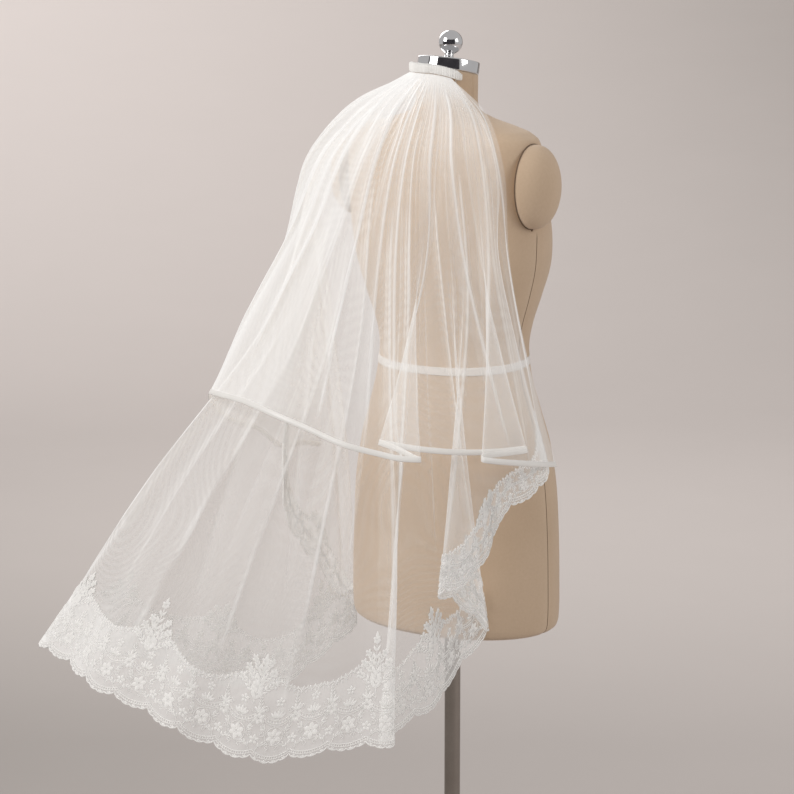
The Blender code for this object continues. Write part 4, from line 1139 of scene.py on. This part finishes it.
def net_finish(name, tint, one_layer, bands):
    net = Finish(name)
    parts = net.node("ShaderNodeSeparateXYZ", None, {0: net.lay()})
    along, fallen, layers = (Signal(net, parts.outputs[axis]) for axis in range(3))
    flat_place = net.node("ShaderNodeCombineXYZ", None, {0: along, 1: fallen}).outputs[0]
    place = net.place()
    edge_on = net.signal("ShaderNodeLayerWeight", None, {"Blend": 0.5}, 1)
    facing = (1.0 - edge_on).between(0.16, 1.0)
    drift = net.noise(place, 7.0)
    warp = net.noise(place, 2.2, 1.0)
    contour_inputs = {0: warp * MOIRE_CONTOURS + along * MOIRE_SLANT}
    contour = net.signal("ShaderNodeMath", {"operation": "SINE"}, contour_inputs)
    moire = contour * bands * (drift * 1.6 - 0.3).between(0.0, 1.0)
    streaks = net.noise(net.stretch(flat_place, (1.0, 0.06, 1.0)), 150.0, 3.0)
    cells = net.signal(
        "ShaderNodeTexVoronoi",
        {"feature": "DISTANCE_TO_EDGE", "voronoi_dimensions": "2D"},
        {"Vector": flat_place, "Scale": CELL_SCALE, "Randomness": 0.25},
    )
    thread = 1.0 - (cells * 9.0).between(0.0, 1.0)
    uneven = moire + (streaks - 0.5) * STREAK_SHARE + (thread - 0.45) * CELL_SHARE
    through_share = (1.0 - one_layer) ** (layers * (1.0 + uneven) / facing)
    density = (1.0 - through_share).between(0.0, 0.97)
    # Painted shade: the net's colour darkens a little along soft streaks, like shade in small folds.
    painted_shade_tint = tuple(channel * PAINTED_SHADE_SHARE for channel in tint[:3]) + (1.0,)
    inputs = {"Base Color": net.blend(streaks, tint, painted_shade_tint), "Roughness": 0.75, "Alpha": density}
    inputs.update({"Sheen Weight": 0.25, "Sheen Roughness": 0.4})
    # Painted glow: an even emission of the net's own colour brightens the side away from the light.
    inputs.update({"Emission Color": tint, "Emission Strength": PAINTED_GLOW})
    return net.surface(inputs, thread, 0.2, 0.0003)


upper_net = net_finish("tulle_upper", TULLE, 0.17, 0.05)
lower_net = net_finish("tulle_lower", TULLE, 0.20, 0.22)


def hem_run(grid):
    """How far along the hem each column lies."""
    steps = np.linalg.norm(np.diff(grid[-1], axis=0), axis=1)
    return np.concatenate([[0.0], np.cumsum(steps)])


def tier_note(grid, fallen, layers):
    run = np.broadcast_to(hem_run(grid)[None, :], fallen.shape)
    return np.stack([run, fallen, layers], axis=-1)


lower_run = hem_run(lower)
upper_run = hem_run(upper)
lower_tier = add_grid(
    "net_lower_tier", lower, lower_net,
    note=tier_note(lower, lower_fallen, lower_layers), replaces=["veil_lower_tier"],
)
upper_tier = add_grid(
    "net_upper_tier", upper, upper_net,
    note=tier_note(upper, upper_fallen, upper_layers), replaces=["veil_upper_tier"],
)
for tier in (lower_tier, upper_tier):
    tier.visible_shadow = False
print("hems:", round(upper_run[-1], 3), round(lower_run[-1], 3))


def sheet_area(grid):
    first = np.cross(grid[1:, :-1] - grid[:-1, :-1], grid[:-1, 1:] - grid[:-1, :-1])
    second = np.cross(grid[1:, :-1] - grid[1:, 1:], grid[:-1, 1:] - grid[1:, 1:])
    return (np.linalg.norm(first, axis=2).sum() + np.linalg.norm(second, axis=2).sum()) / 2.0


print("areas:", round(sheet_area(upper), 3), round(sheet_area(lower), 3))
print("lengths:", [round(float(x), 3) for x in (upper_fallen[-1].min(), upper_fallen[-1].max())])
print("lengths:", [round(float(x), 3) for x in (lower_fallen[-1].min(), lower_fallen[-1].max())])

# %% [markdown]
# ## Laying trims on the cloth
# The ribbon and the lace are sewn along a hem, so they follow its every fold. Both are drawn in flat
# measures, so far along the hem and so far above it. One function turns those into points on the tier.

# %% Flat measures to cloth
class Hem:
    """The lower part of a tier, addressed by metres along its hem and metres above it."""

    def __init__(self, grid):
        self.grid = grid
        self.last = grid.shape[0] - 1
        self.run = hem_run(grid)
        self.normal = grid_normals(grid)
        steps = np.linalg.norm(np.diff(grid, axis=0), axis=2)
        rest = np.zeros((1, grid.shape[1]))
        self.above = np.concatenate([np.cumsum(steps[::-1], axis=0)[::-1], rest])
        self.fall = unit(grid[-1] - grid[-3])
        self.rows = np.arange(self.last + 1.0)

    def column(self, run):
        return np.interp(run, self.run, np.arange(len(self.run)))

    def down(self, whole, height):
        return np.interp(-height, -self.above[:, whole], self.rows)

    def read(self, field, column, down):
        c0 = np.clip(np.floor(column).astype(int), 0, field.shape[1] - 2)
        r0 = np.clip(np.floor(down).astype(int), 0, field.shape[0] - 2)
        c = (column - c0)[:, None]
        r = (down - r0)[:, None]
        upper_row = field[r0, c0] * (1 - c) + field[r0, c0 + 1] * c
        lower_row = field[r0 + 1, c0] * (1 - c) + field[r0 + 1, c0 + 1] * c
        return upper_row * (1 - r) + lower_row * r

    def place(self, run, height, out):
        """World points for matching lists of run, height above the hem and distance outward."""
        column = self.column(run)
        whole = np.round(column).astype(int)
        left = np.floor(column).astype(int)
        right = np.minimum(left + 1, len(self.run) - 1)
        share = column - left
        down = np.array([
            self.down(left[i], height[i]) * (1.0 - share[i])
            + self.down(right[i], height[i]) * share[i]
            for i in range(len(column))
        ])
        points = self.read(self.grid, column, down)
        points += self.fall[whole] * np.maximum(-height, 0.0)[:, None]
        return points + unit(self.read(self.normal, column, down)) * np.asarray(out)[:, None]


upper_edge = Hem(upper)
lower_edge = Hem(lower)
print("hem readers ready")

# %% [markdown]
# ## Ribbon
# The upper tier's edge is bound with a narrow satin ribbon, folded over the net. It is modelled as a
# thin closed band round the edge, so it has a front, a back and a rounded fold at the bottom.

# %% Ribbon band
RIBBON_WIDTH = 0.008
RIBBON_HALF = 0.0008
SATIN_DARK = (0.78, 0.76, 0.73, 1.0)
SATIN_PALE = (0.86, 0.845, 0.82, 1.0)
satin = Finish("ivory_satin")
satin_lay = satin.lay()
satin_warp = satin.noise(satin.stretch(satin_lay, (1.0, 0.08, 1.0)), 1400.0)
satin_colour = satin.blend(satin.noise(satin_lay, 28.0, 3.0), SATIN_DARK, SATIN_PALE)
satin_rough = (satin_warp * 0.2 + 0.28).between(0.2, 0.6)
satin_inputs = {"Base Color": satin_colour, "Roughness": satin_rough, "Sheen Weight": 0.3}
satin_material = satin.surface(satin_inputs, satin_warp, 0.3, 0.0002)

ribbon_section = [
    (RIBBON_WIDTH, RIBBON_HALF),
    (RIBBON_WIDTH * 0.96, RIBBON_HALF * 1.25),
    (RIBBON_WIDTH * 0.5, RIBBON_HALF),
    (0.0, RIBBON_HALF),
    (-0.0007, 0.0),
]
ribbon_section += [(height, -out) for height, out in reversed(ribbon_section[:-1])]
ribbon_run = upper_edge.run
band = []
for height, out in ribbon_section:
    level = np.full(len(ribbon_run), height)
    band.append(upper_edge.place(ribbon_run, level, np.full(len(ribbon_run), out)))
band = np.array(band).transpose(1, 0, 2)
band_note = np.zeros(band.shape)
band_note[:, :, 0] = ribbon_run[:, None]
band_note[:, :, 1] = np.array([height for height, _ in ribbon_section])[None, :]
ribbon = add_grid(
    "satin_ribbon", band, satin_material,
    closed=True, note=band_note, replaces=["ribbon_edge"],
)

# %% [markdown]
# ## The bound heading and its comb
# The gathers of both tiers are sewn into one bound strip, which is sewn to a wire comb. The strip
# shows small even pleats from the gathers under it. The comb is plain silvery wire.

# %% Heading band
HEADING_HEIGHT = 0.0150
HEADING_INNER = 0.0503
HEADING_OUTER = 0.0582
PLEAT_PITCH = 2.6
PLEAT_HEIGHT = 0.0011
STATIONS = 301
BINDING_DARK = (0.88, 0.865, 0.84, 1.0)
BINDING_PALE = (0.94, 0.93, 0.91, 1.0)
binding = Finish("binding_cotton_satin")
binding_place = binding.place()
binding_grain = binding.noise(binding.stretch(binding_place, (1.0, 1.0, 0.1)), 1100.0)
binding_colour = binding.blend(binding.noise(binding_place, 60.0, 4.0), BINDING_DARK, BINDING_PALE)
binding_inputs = {"Base Color": binding_colour, "Roughness": 0.6}
binding_material = binding.surface(binding_inputs, binding_grain, 0.35, 0.0003)

bearings = np.linspace(HEADING_BEARING + 2.0, -HEADING_BEARING - 2.0, STATIONS)
half_high = HEADING_HEIGHT / 2.0
half_deep = (HEADING_OUTER - HEADING_INNER) / 2.0
middle = (HEADING_OUTER + HEADING_INNER) / 2.0
corners = np.arange(24) * 2.0 * math.pi / 24
generator = np.random.default_rng(FOLDED_SEED)
pleat_stops = np.linspace(-62, 62, 50)
pleat_size = np.interp(bearings[::-1], pleat_stops, generator.uniform(0.4, 1.0, 50))[::-1]
heading_rings = []
for number, bearing in enumerate(bearings):
    taper = min(1.0, (number + 0.35) / 22.0, (STATIONS - 0.65 - number) / 22.0) ** 0.5
    out = np.sign(np.cos(corners)) * np.abs(np.cos(corners)) ** 0.60 * half_deep * taper
    rise = np.sign(np.sin(corners)) * np.abs(np.sin(corners)) ** 0.60 * half_high
    rise = rise * (0.45 + 0.55 * taper)
    wave = math.cos(math.radians(bearing * 360.0 / PLEAT_PITCH)) * pleat_size[number]
    lower_share = np.clip(0.80 - rise / half_high * 0.3, 0.0, 1.0)
    rise = rise - PLEAT_HEIGHT * (1.0 - wave) * (rise > 0.0)
    out = out - PLEAT_HEIGHT * (1.0 - wave) * lower_share * (out > 0.0)
    ring = [from_neck(bearing, middle + o, 0.0) for o in out]
    height = heading_height(bearing) + half_high
    heading_rings.append([[point[0], point[1], height + r] for point, r in zip(ring, rise)])
heading_rings = np.array(heading_rings)
ends = [lid(heading_rings, 0, 3)[::-1], lid(heading_rings, -1, 3)]
heading_whole = np.concatenate([np.array(ends[0]), heading_rings, np.array(ends[1])])
add_grid(
    "bound_heading", heading_whole, binding_material,
    closed=True, replaces=["heading_band"],
)

# %% Comb wire
SILVER_DARK = (0.62, 0.61, 0.59, 1.0)
SILVER_PALE = (0.74, 0.73, 0.71, 1.0)
silver = Finish("comb_wire")
silver_noise = silver.noise(silver.place(), 220.0, 3.0)
silver_rough = (silver_noise * 0.2 + 0.18).between(0.1, 0.5)
silver_inputs = {"Base Color": silver.blend(silver_noise, SILVER_DARK, SILVER_PALE)}
silver_inputs.update({"Roughness": silver_rough, "Metallic": 1.0})
silver_material = silver.surface(silver_inputs)
dressed = 0
for name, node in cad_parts.items():
    if name.startswith("comb_"):
        for slot in node.material_slots:
            slot.material = silver_material
        dressed += 1
print("comb nodes dressed:", dressed)

# %% [markdown]
# ## Lace ground
# The lower tier ends in a wide lace edging. Lace of this kind is embroidered on fine net, so first
# comes a strip of net that follows the hem. Its lower edge is cut round the scallops, and its upper
# edge rises where a tall spray stands.

# %% Lace ground strip
SCALLOP_PITCH = 0.058
SCALLOP_DEPTH = 0.009
SMALL_SCALLOPS = 4
SMALL_DEPTH = 0.0026
LACE_PEAK_PITCH = 0.200
LACE_PEAK = 0.28
LACE_OUT = 0.0011
GROUND_ROWS = 12
lace_widths = np.array([row.lace for row in LOWER_HEM])


def lace_width(run):
    """The lace's usual width at a place along the hem."""
    column = lower_edge.column(run)
    return np.interp(column / LOWER_SPAN_COLUMNS, np.arange(len(lace_widths)), lace_widths)


def lace_top(run):
    peaks = np.abs(np.cos(math.pi * run / LACE_PEAK_PITCH)) ** 3
    return lace_width(run) * (1.0 + LACE_PEAK * (peaks - 0.4))


def scallop_edge(run):
    """How far below the hem the scalloped edge hangs."""
    big = np.abs(np.sin(math.pi * run / SCALLOP_PITCH)) ** 0.7
    small = np.abs(np.sin(math.pi * run * SMALL_SCALLOPS / SCALLOP_PITCH)) ** 0.6
    return SCALLOP_DEPTH * big + SMALL_DEPTH * small - 0.0005


ground_run = np.linspace(0.0, lower_run[-1], int(lower_run[-1] / 0.0018) + 1)
ground = []
ground_note = []
for row in range(GROUND_ROWS + 1):
    share = (row / GROUND_ROWS) ** 0.8
    height = lace_top(ground_run) * (1.0 - share) - scallop_edge(ground_run) * share
    ground.append(lower_edge.place(ground_run, height, np.full(len(height), LACE_OUT)))
    ground_note.append(np.stack([ground_run, height, np.ones(len(height))], axis=-1))
ground = np.array(ground)
ground_note = np.array(ground_note)
ground_net = net_finish("lace_ground_net", TULLE, 0.36, 0.05)
lace_ground = add_grid(
    "lace_ground", ground, ground_net, note=ground_note, replaces=["lace_edge"]
)
lace_ground.visible_shadow = False

# %% [markdown]
# ## Embroidery
# The pattern is a traditional corded lace: rows of scallops, six-petal flowers, leafy sprigs, swags of
# two cords with bars between them, and a tall spray at every peak. Each motif is a small raised mesh.
# A cord is a strip with a ridge, and a petal is a leaf with a raised vein. They are drawn flat, in
# metres along and above the hem, and then laid on the cloth all at once.

# %% Embroidery kit
USUAL_WIDTH = 0.100
CORD_RISE = 0.0009
LEAF_RISE = 0.0008


class Embroidery:
    """Raised thread work, collected flat and laid on the hem in one go."""

    def __init__(self):
        self.flat = []
        self.faces = []
        self.count = 0

    def strip(self, across):
        """across: stations x points x 3 (run, height, out), joined into quads."""
        stations, points = across.shape[:2]
        self.flat.append(across.reshape(-1, 3))
        for station in range(stations - 1):
            for point in range(points - 1):
                a = self.count + station * points + point
                self.faces.append((a, a + 1, a + points + 1, a + points))
        self.count += stations * points

    def cord(self, path, width, rise=CORD_RISE):
        """A ridge along a flat path of (run, height) points."""
        path = np.asarray(path, float)
        ahead = unit(np.gradient(path, axis=0))
        side = np.stack([-ahead[:, 1], ahead[:, 0]], axis=-1) * width / 2.0
        low = np.full((len(path), 1), LACE_OUT + 0.0001)
        high = low + rise
        left = np.concatenate([path - side, low], axis=1)
        middle = np.concatenate([path, high], axis=1)
        right = np.concatenate([path + side, low], axis=1)
        self.strip(np.stack([left, middle, right], axis=1))

    def leaf(self, base, angle, length, width, bend=0.0, stations=5):
        """A pointed petal from base, with a raised vein and a little sideways bend."""
        t = np.linspace(0.0, 1.0, stations)
        turn = angle + bend * t
        ahead = np.stack([np.cos(turn), np.sin(turn)], axis=-1)
        step = ahead * (length / (stations - 1))
        middle = np.asarray(base) + np.concatenate([[[0.0, 0.0]], np.cumsum(step[:-1], axis=0)])
        side = np.stack([-ahead[:, 1], ahead[:, 0]], axis=-1)
        side *= (width / 2.0 * np.sin(math.pi * (t * 0.9 + 0.06)) ** 0.8)[:, None]
        low = np.full((stations, 1), LACE_OUT + 0.0002)
        high = LACE_OUT + 0.0002 + LEAF_RISE * np.sin(math.pi * (t * 0.8 + 0.1))[:, None]
        left = np.concatenate([middle - side, low], axis=1)
        vein = np.concatenate([middle, high], axis=1)
        right = np.concatenate([middle + side, low], axis=1)
        self.strip(np.stack([left, vein, right], axis=1))

    def ring(self, centre, radius, width, steps=10):
        turn = np.linspace(0.0, 2.0 * math.pi, steps + 1)
        path = np.stack([centre[0] + radius * np.cos(turn), centre[1] + radius * np.sin(turn)], axis=-1)
        self.cord(path, width)

    def flower(self, centre, radius, petals, turn):
        for number in range(petals):
            angle = turn + number * 2.0 * math.pi / petals
            start = (
                centre[0] + math.cos(angle) * radius * 0.22,
                centre[1] + math.sin(angle) * radius * 0.22,
            )
            self.leaf(start, angle, radius * 0.80, radius * 0.62)
        self.ring(centre, radius * 0.20, radius * 0.16, 8)

    def sprig(self, path, width, leaf_length, leaves):
        """A stem with leaves on both sides, shorter toward the tip."""
        path = np.asarray(path, float)
        self.cord(path, width)
        for number in range(leaves):
            share = (number + 0.8) / (leaves + 0.4)
            place = share * (len(path) - 1)
            low = min(int(place), len(path) - 2)
            point = path[low] + (path[low + 1] - path[low]) * (place - low)
            ahead = math.atan2(path[low + 1][1] - path[low][1], path[low + 1][0] - path[low][0])
            size = leaf_length * (1.15 - 0.55 * share)
            self.leaf(point, ahead + 0.75, size, size * 0.40, -0.5, 4)
            self.leaf(point, ahead - 0.75, size, size * 0.40, 0.5, 4)
        tip = path[-1]
        ahead = math.atan2(path[-1][1] - path[-2][1], path[-1][0] - path[-2][0])
        self.leaf(tip, ahead, leaf_length * 0.8, leaf_length * 0.34)

    def scroll(self, centre, radius, start, turns, width, way=1.0):
        """A spiral of cord that winds in to its centre."""
        t = np.linspace(0.0, 1.0, 11)
        angle = start + way * turns * 2.0 * math.pi * t
        far = radius * (1.0 - 0.72 * t)
        path = np.stack([centre[0] + far * np.cos(angle), centre[1] + far * np.sin(angle)], axis=-1)
        self.cord(path, width)


work = Embroidery()
run_end = float(lower_run[-1])

# %% Scalloped edge
edge_run = np.arange(0.0012, run_end - 0.0012, 0.0013)
work.cord(np.stack([edge_run, 0.0009 - scallop_edge(edge_run)], axis=-1), 0.0019)


def inner_edge(run, rise):
    return rise - SCALLOP_DEPTH * np.abs(np.sin(math.pi * run / SCALLOP_PITCH)) ** 0.7


for rise, width in ((0.0045, 0.0011), (0.0085, 0.0014)):
    inner_run = np.arange(0.0012, run_end - 0.0012, 0.0022)
    work.cord(np.stack([inner_run, inner_edge(inner_run, rise)], axis=-1), width)
for bar in np.arange(0.0025, run_end - 0.002, 0.0036):
    low = float(inner_edge(bar, 0.0048))
    work.cord([(bar, low), (bar + 0.0003, low + 0.0018), (bar, low + 0.0036)], 0.0010, 0.0005)
small_pitch = SCALLOP_PITCH / SMALL_SCALLOPS
for number in range(int(run_end / small_pitch)):
    middle_run = (number + 0.5) * small_pitch
    low = 0.0014 - float(scallop_edge(middle_run))
    for turn in (-0.85, 0.0, 0.85):
        work.leaf((middle_run, low), math.pi / 2.0 + turn, 0.0042, 0.0022, 0.0, 4)
print("edge work:", len(work.faces), "faces")

# %% Flowers, sprigs and swags
cells = int(run_end / SCALLOP_PITCH) + 1
for cell in range(cells):
    centre = (cell + 0.5) * SCALLOP_PITCH
    width_share = float(lace_width(min(centre, run_end))) / USUAL_WIDTH
    size = width_share ** 0.5

    def at(x, y):
        return (centre + x, y * width_share)

    work.flower(at(0.0, 0.027), 0.0115 * size, 6, math.pi / 2.0)
    work.ring(at(0.0, 0.027), 0.0130 * size, 0.0009, 20)
    work.flower(at(-0.029, 0.022), 0.0075 * size, 5, 0.4)
    work.flower(at(-0.029, 0.052), 0.0090 * size, 6, 0.2 + 0.3 * (cell % 2))
    for side in (-1.0, 1.0):
        stem = [at(side * (0.024 - 0.010 * t), 0.006 + 0.010 * t + 0.004 * math.sin(3.0 * t)) for t in
                np.linspace(0.0, 1.3, 7)]
        work.sprig(stem, 0.0009, 0.0062 * size, 3)
        stem = [at(side * (0.014 + 0.009 * t), 0.034 + 0.014 * t * t) for t in np.linspace(0.0, 1.0, 6)]
        work.sprig(stem, 0.0009, 0.0065 * size, 3)
        work.scroll(at(side * 0.0195, 0.029), 0.0050 * size, math.pi / 2.0, 1.1, 0.0010, side)
        work.scroll(at(side * 0.0085, 0.0115), 0.0034 * size, -math.pi / 2.0, 1.0, 0.0009, -side)
        work.scroll(at(side * 0.0200, 0.0630), 0.0048 * size, 0.0, 1.0, 0.0010, side)
    swag = np.linspace(-1.0, 1.0, 19)
    for rise, width in ((0.0, 0.0013), (0.0046, 0.0010), (-0.0030, 0.0008)):
        work.cord([at(x * 0.028, 0.044 + rise + 0.013 * x * x) for x in swag], width)
    for x in np.linspace(-0.95, 0.95, 13):
        low = at(x * 0.028, 0.0450 + 0.013 * x * x)
        work.cord([low, (low[0], low[1] + 0.0013), (low[0], low[1] + 0.0026)], 0.0012, 0.0006)
    for turn in (-1.0, -0.5, 0.0, 0.5, 1.0):
        long = 0.0125 - 0.003 * abs(turn)
        start = at(0.004 * turn, 0.0525)
        work.leaf(start, math.pi / 2.0 - turn * 0.8, long * size, 0.0040 * size, 0.0)
    work.ring(at(0.0, 0.0520), 0.0024 * size, 0.0010, 8)
    work.flower(at(0.0, 0.0740), 0.0070 * size, 5, math.pi / 2.0)
    for turn in (-1.15, -0.45, 0.45, 1.15):
        work.leaf(at(-0.029, 0.0605), math.pi / 2.0 - turn, 0.0115 * size, 0.0040 * size, turn * 0.5)
    work.sprig([at(-0.029 + 0.003 * t, 0.066 + 0.016 * t) for t in np.linspace(0.0, 1.0, 5)],
               0.0009, 0.0060 * size, 3)
print("cells:", cells, "faces so far:", len(work.faces))

# %% Upper border and tall sprays
BORDER_PITCH = 0.00725
BORDER_BELOW = 0.0035
border_run = np.arange(0.0015, run_end - 0.0015, 0.0021)
ripple = 0.0016 * np.sin(2.0 * math.pi * border_run / 0.0145)
border = np.stack([border_run, lace_top(border_run) - BORDER_BELOW + ripple], axis=-1)
work.cord(border, 0.0012)
for number in range(int(run_end / BORDER_PITCH)):
    place = (number + 0.5) * BORDER_PITCH
    top = float(lace_top(place)) - BORDER_BELOW
    lean = 0.5 * math.sin(number * 1.7)
    work.leaf((place, top), math.pi / 2.0 + lean, 0.0058, 0.0030, 0.0, 4)
    work.leaf((place, top - 0.001), -math.pi / 2.0 + lean, 0.0048, 0.0026, 0.0, 4)
SPRAY_BRANCHES = [(0.82, 0.025, 0.0095), (0.98, 0.019, 0.0095), (1.12, 0.012, 0.0085)]
SPRAY_REACH = (1.52, 1.34, 1.60, 1.42, 1.50, 1.30, 1.56, 1.38, 1.48, 1.36, 1.54, 1.40, 1.46)
for number in range(int(run_end / LACE_PEAK_PITCH) + 1):
    place = min(max(number * LACE_PEAK_PITCH, 0.012), run_end - 0.012)
    width = float(lace_width(place))
    reach = SPRAY_REACH[number]
    lean = 0.004 * math.sin(number * 2.3)
    stem = [(place + lean * t, width * (0.70 + (reach - 0.70) * t)) for t in np.linspace(0.0, 1.0, 9)]
    work.sprig(stem, 0.0014, 0.0145 * (width / USUAL_WIDTH) ** 0.5, 7)
    for level, spread, leaf in SPRAY_BRANCHES:
        for side in (-1.0, 1.0):
            branch = [
                (place + side * (0.003 + spread * t), width * (level + 0.26 * t - 0.08 * t * t))
                for t in np.linspace(0.0, 1.0, 6)
            ]
            if 0.0 < branch[-1][0] < run_end:
                work.sprig(branch, 0.0012, leaf * (width / USUAL_WIDTH) ** 0.5, 4)
                work.flower(branch[-1], leaf * 0.75, 5, 0.6)
    work.flower((place, width * 0.94), 0.0100, 6, 0.1 * number)
    work.flower((place + lean, width * reach), 0.0072, 6, 0.3)
print("embroidery:", len(work.faces), "faces")

# %% [markdown]
# ## Both faces of the lace
# The embroidery lies on the outer face of the net. The same work, turned over, lies just behind it,
# because stitches show on both faces and the lace on the far side is seen from within. The thread has
# a painted glow: an even emission of the net's colour, half as strong again as the net's own, standing
# in for light that passes through white thread.

# %% Lay the embroidery on the hem
THREAD_PAINTED_GLOW = 1.5
LACE_DARK = (0.76, 0.74, 0.715, 1.0)
LACE_PALE = (0.94, 0.93, 0.91, 1.0)
thread = Finish("lace_thread")
thread_lay = thread.lay()
thread_fine = thread.noise(thread_lay, 1500.0)
thread_tone = thread.noise(thread_lay, 90.0, 3.0)
stitch_settings = {"wave_type": "BANDS", "bands_direction": "DIAGONAL"}
stitch_inputs = {"Vector": thread_lay, "Scale": 900.0, "Distortion": 1.5}
stitch = thread.signal("ShaderNodeTexWave", stitch_settings, stitch_inputs, 1)
thread_colour = thread.blend(thread_tone * 0.7 + stitch * 0.3, LACE_DARK, LACE_PALE)
thread_inputs = {"Base Color": thread_colour, "Roughness": 0.62, "Sheen Weight": 0.2}
# Painted glow: the thread gives out an even emission of the net's colour.
thread_inputs.update({"Emission Color": TULLE, "Emission Strength": PAINTED_GLOW * THREAD_PAINTED_GLOW})
thread_material = thread.surface(thread_inputs, stitch * 0.7 + thread_fine * 0.3, 0.5, 0.0003)

flat_work = np.concatenate(work.flat)
flat_work[:, 0] = np.clip(flat_work[:, 0], 0.0003, run_end - 0.0003)
laid = lower_edge.place(flat_work[:, 0], flat_work[:, 1], flat_work[:, 2])
lace_motifs = add_mesh("lace_motifs", laid, work.faces, thread_material, note=flat_work)
under_work = flat_work * [1.0, 1.0, -1.0] + [0.0, 0.0, LACE_OUT / 2.0]
laid_under = lower_edge.place(under_work[:, 0], under_work[:, 1], under_work[:, 2])
turned_faces = [face[::-1] for face in work.faces]
lace_under = add_mesh(
    "lace_motifs_under", laid_under, turned_faces, thread_material, note=flat_work
)
lace_under.visible_shadow = False

# %% [markdown]
# ## What the cloth is cut from
# Each tier is a flat oval of net, and its gathered side is the straight run at the heading. The lace is
# a straight strip.

# %% Triangle count
print("triangles:", sum(len(p.data.polygons) * 2 for p in made_pieces))
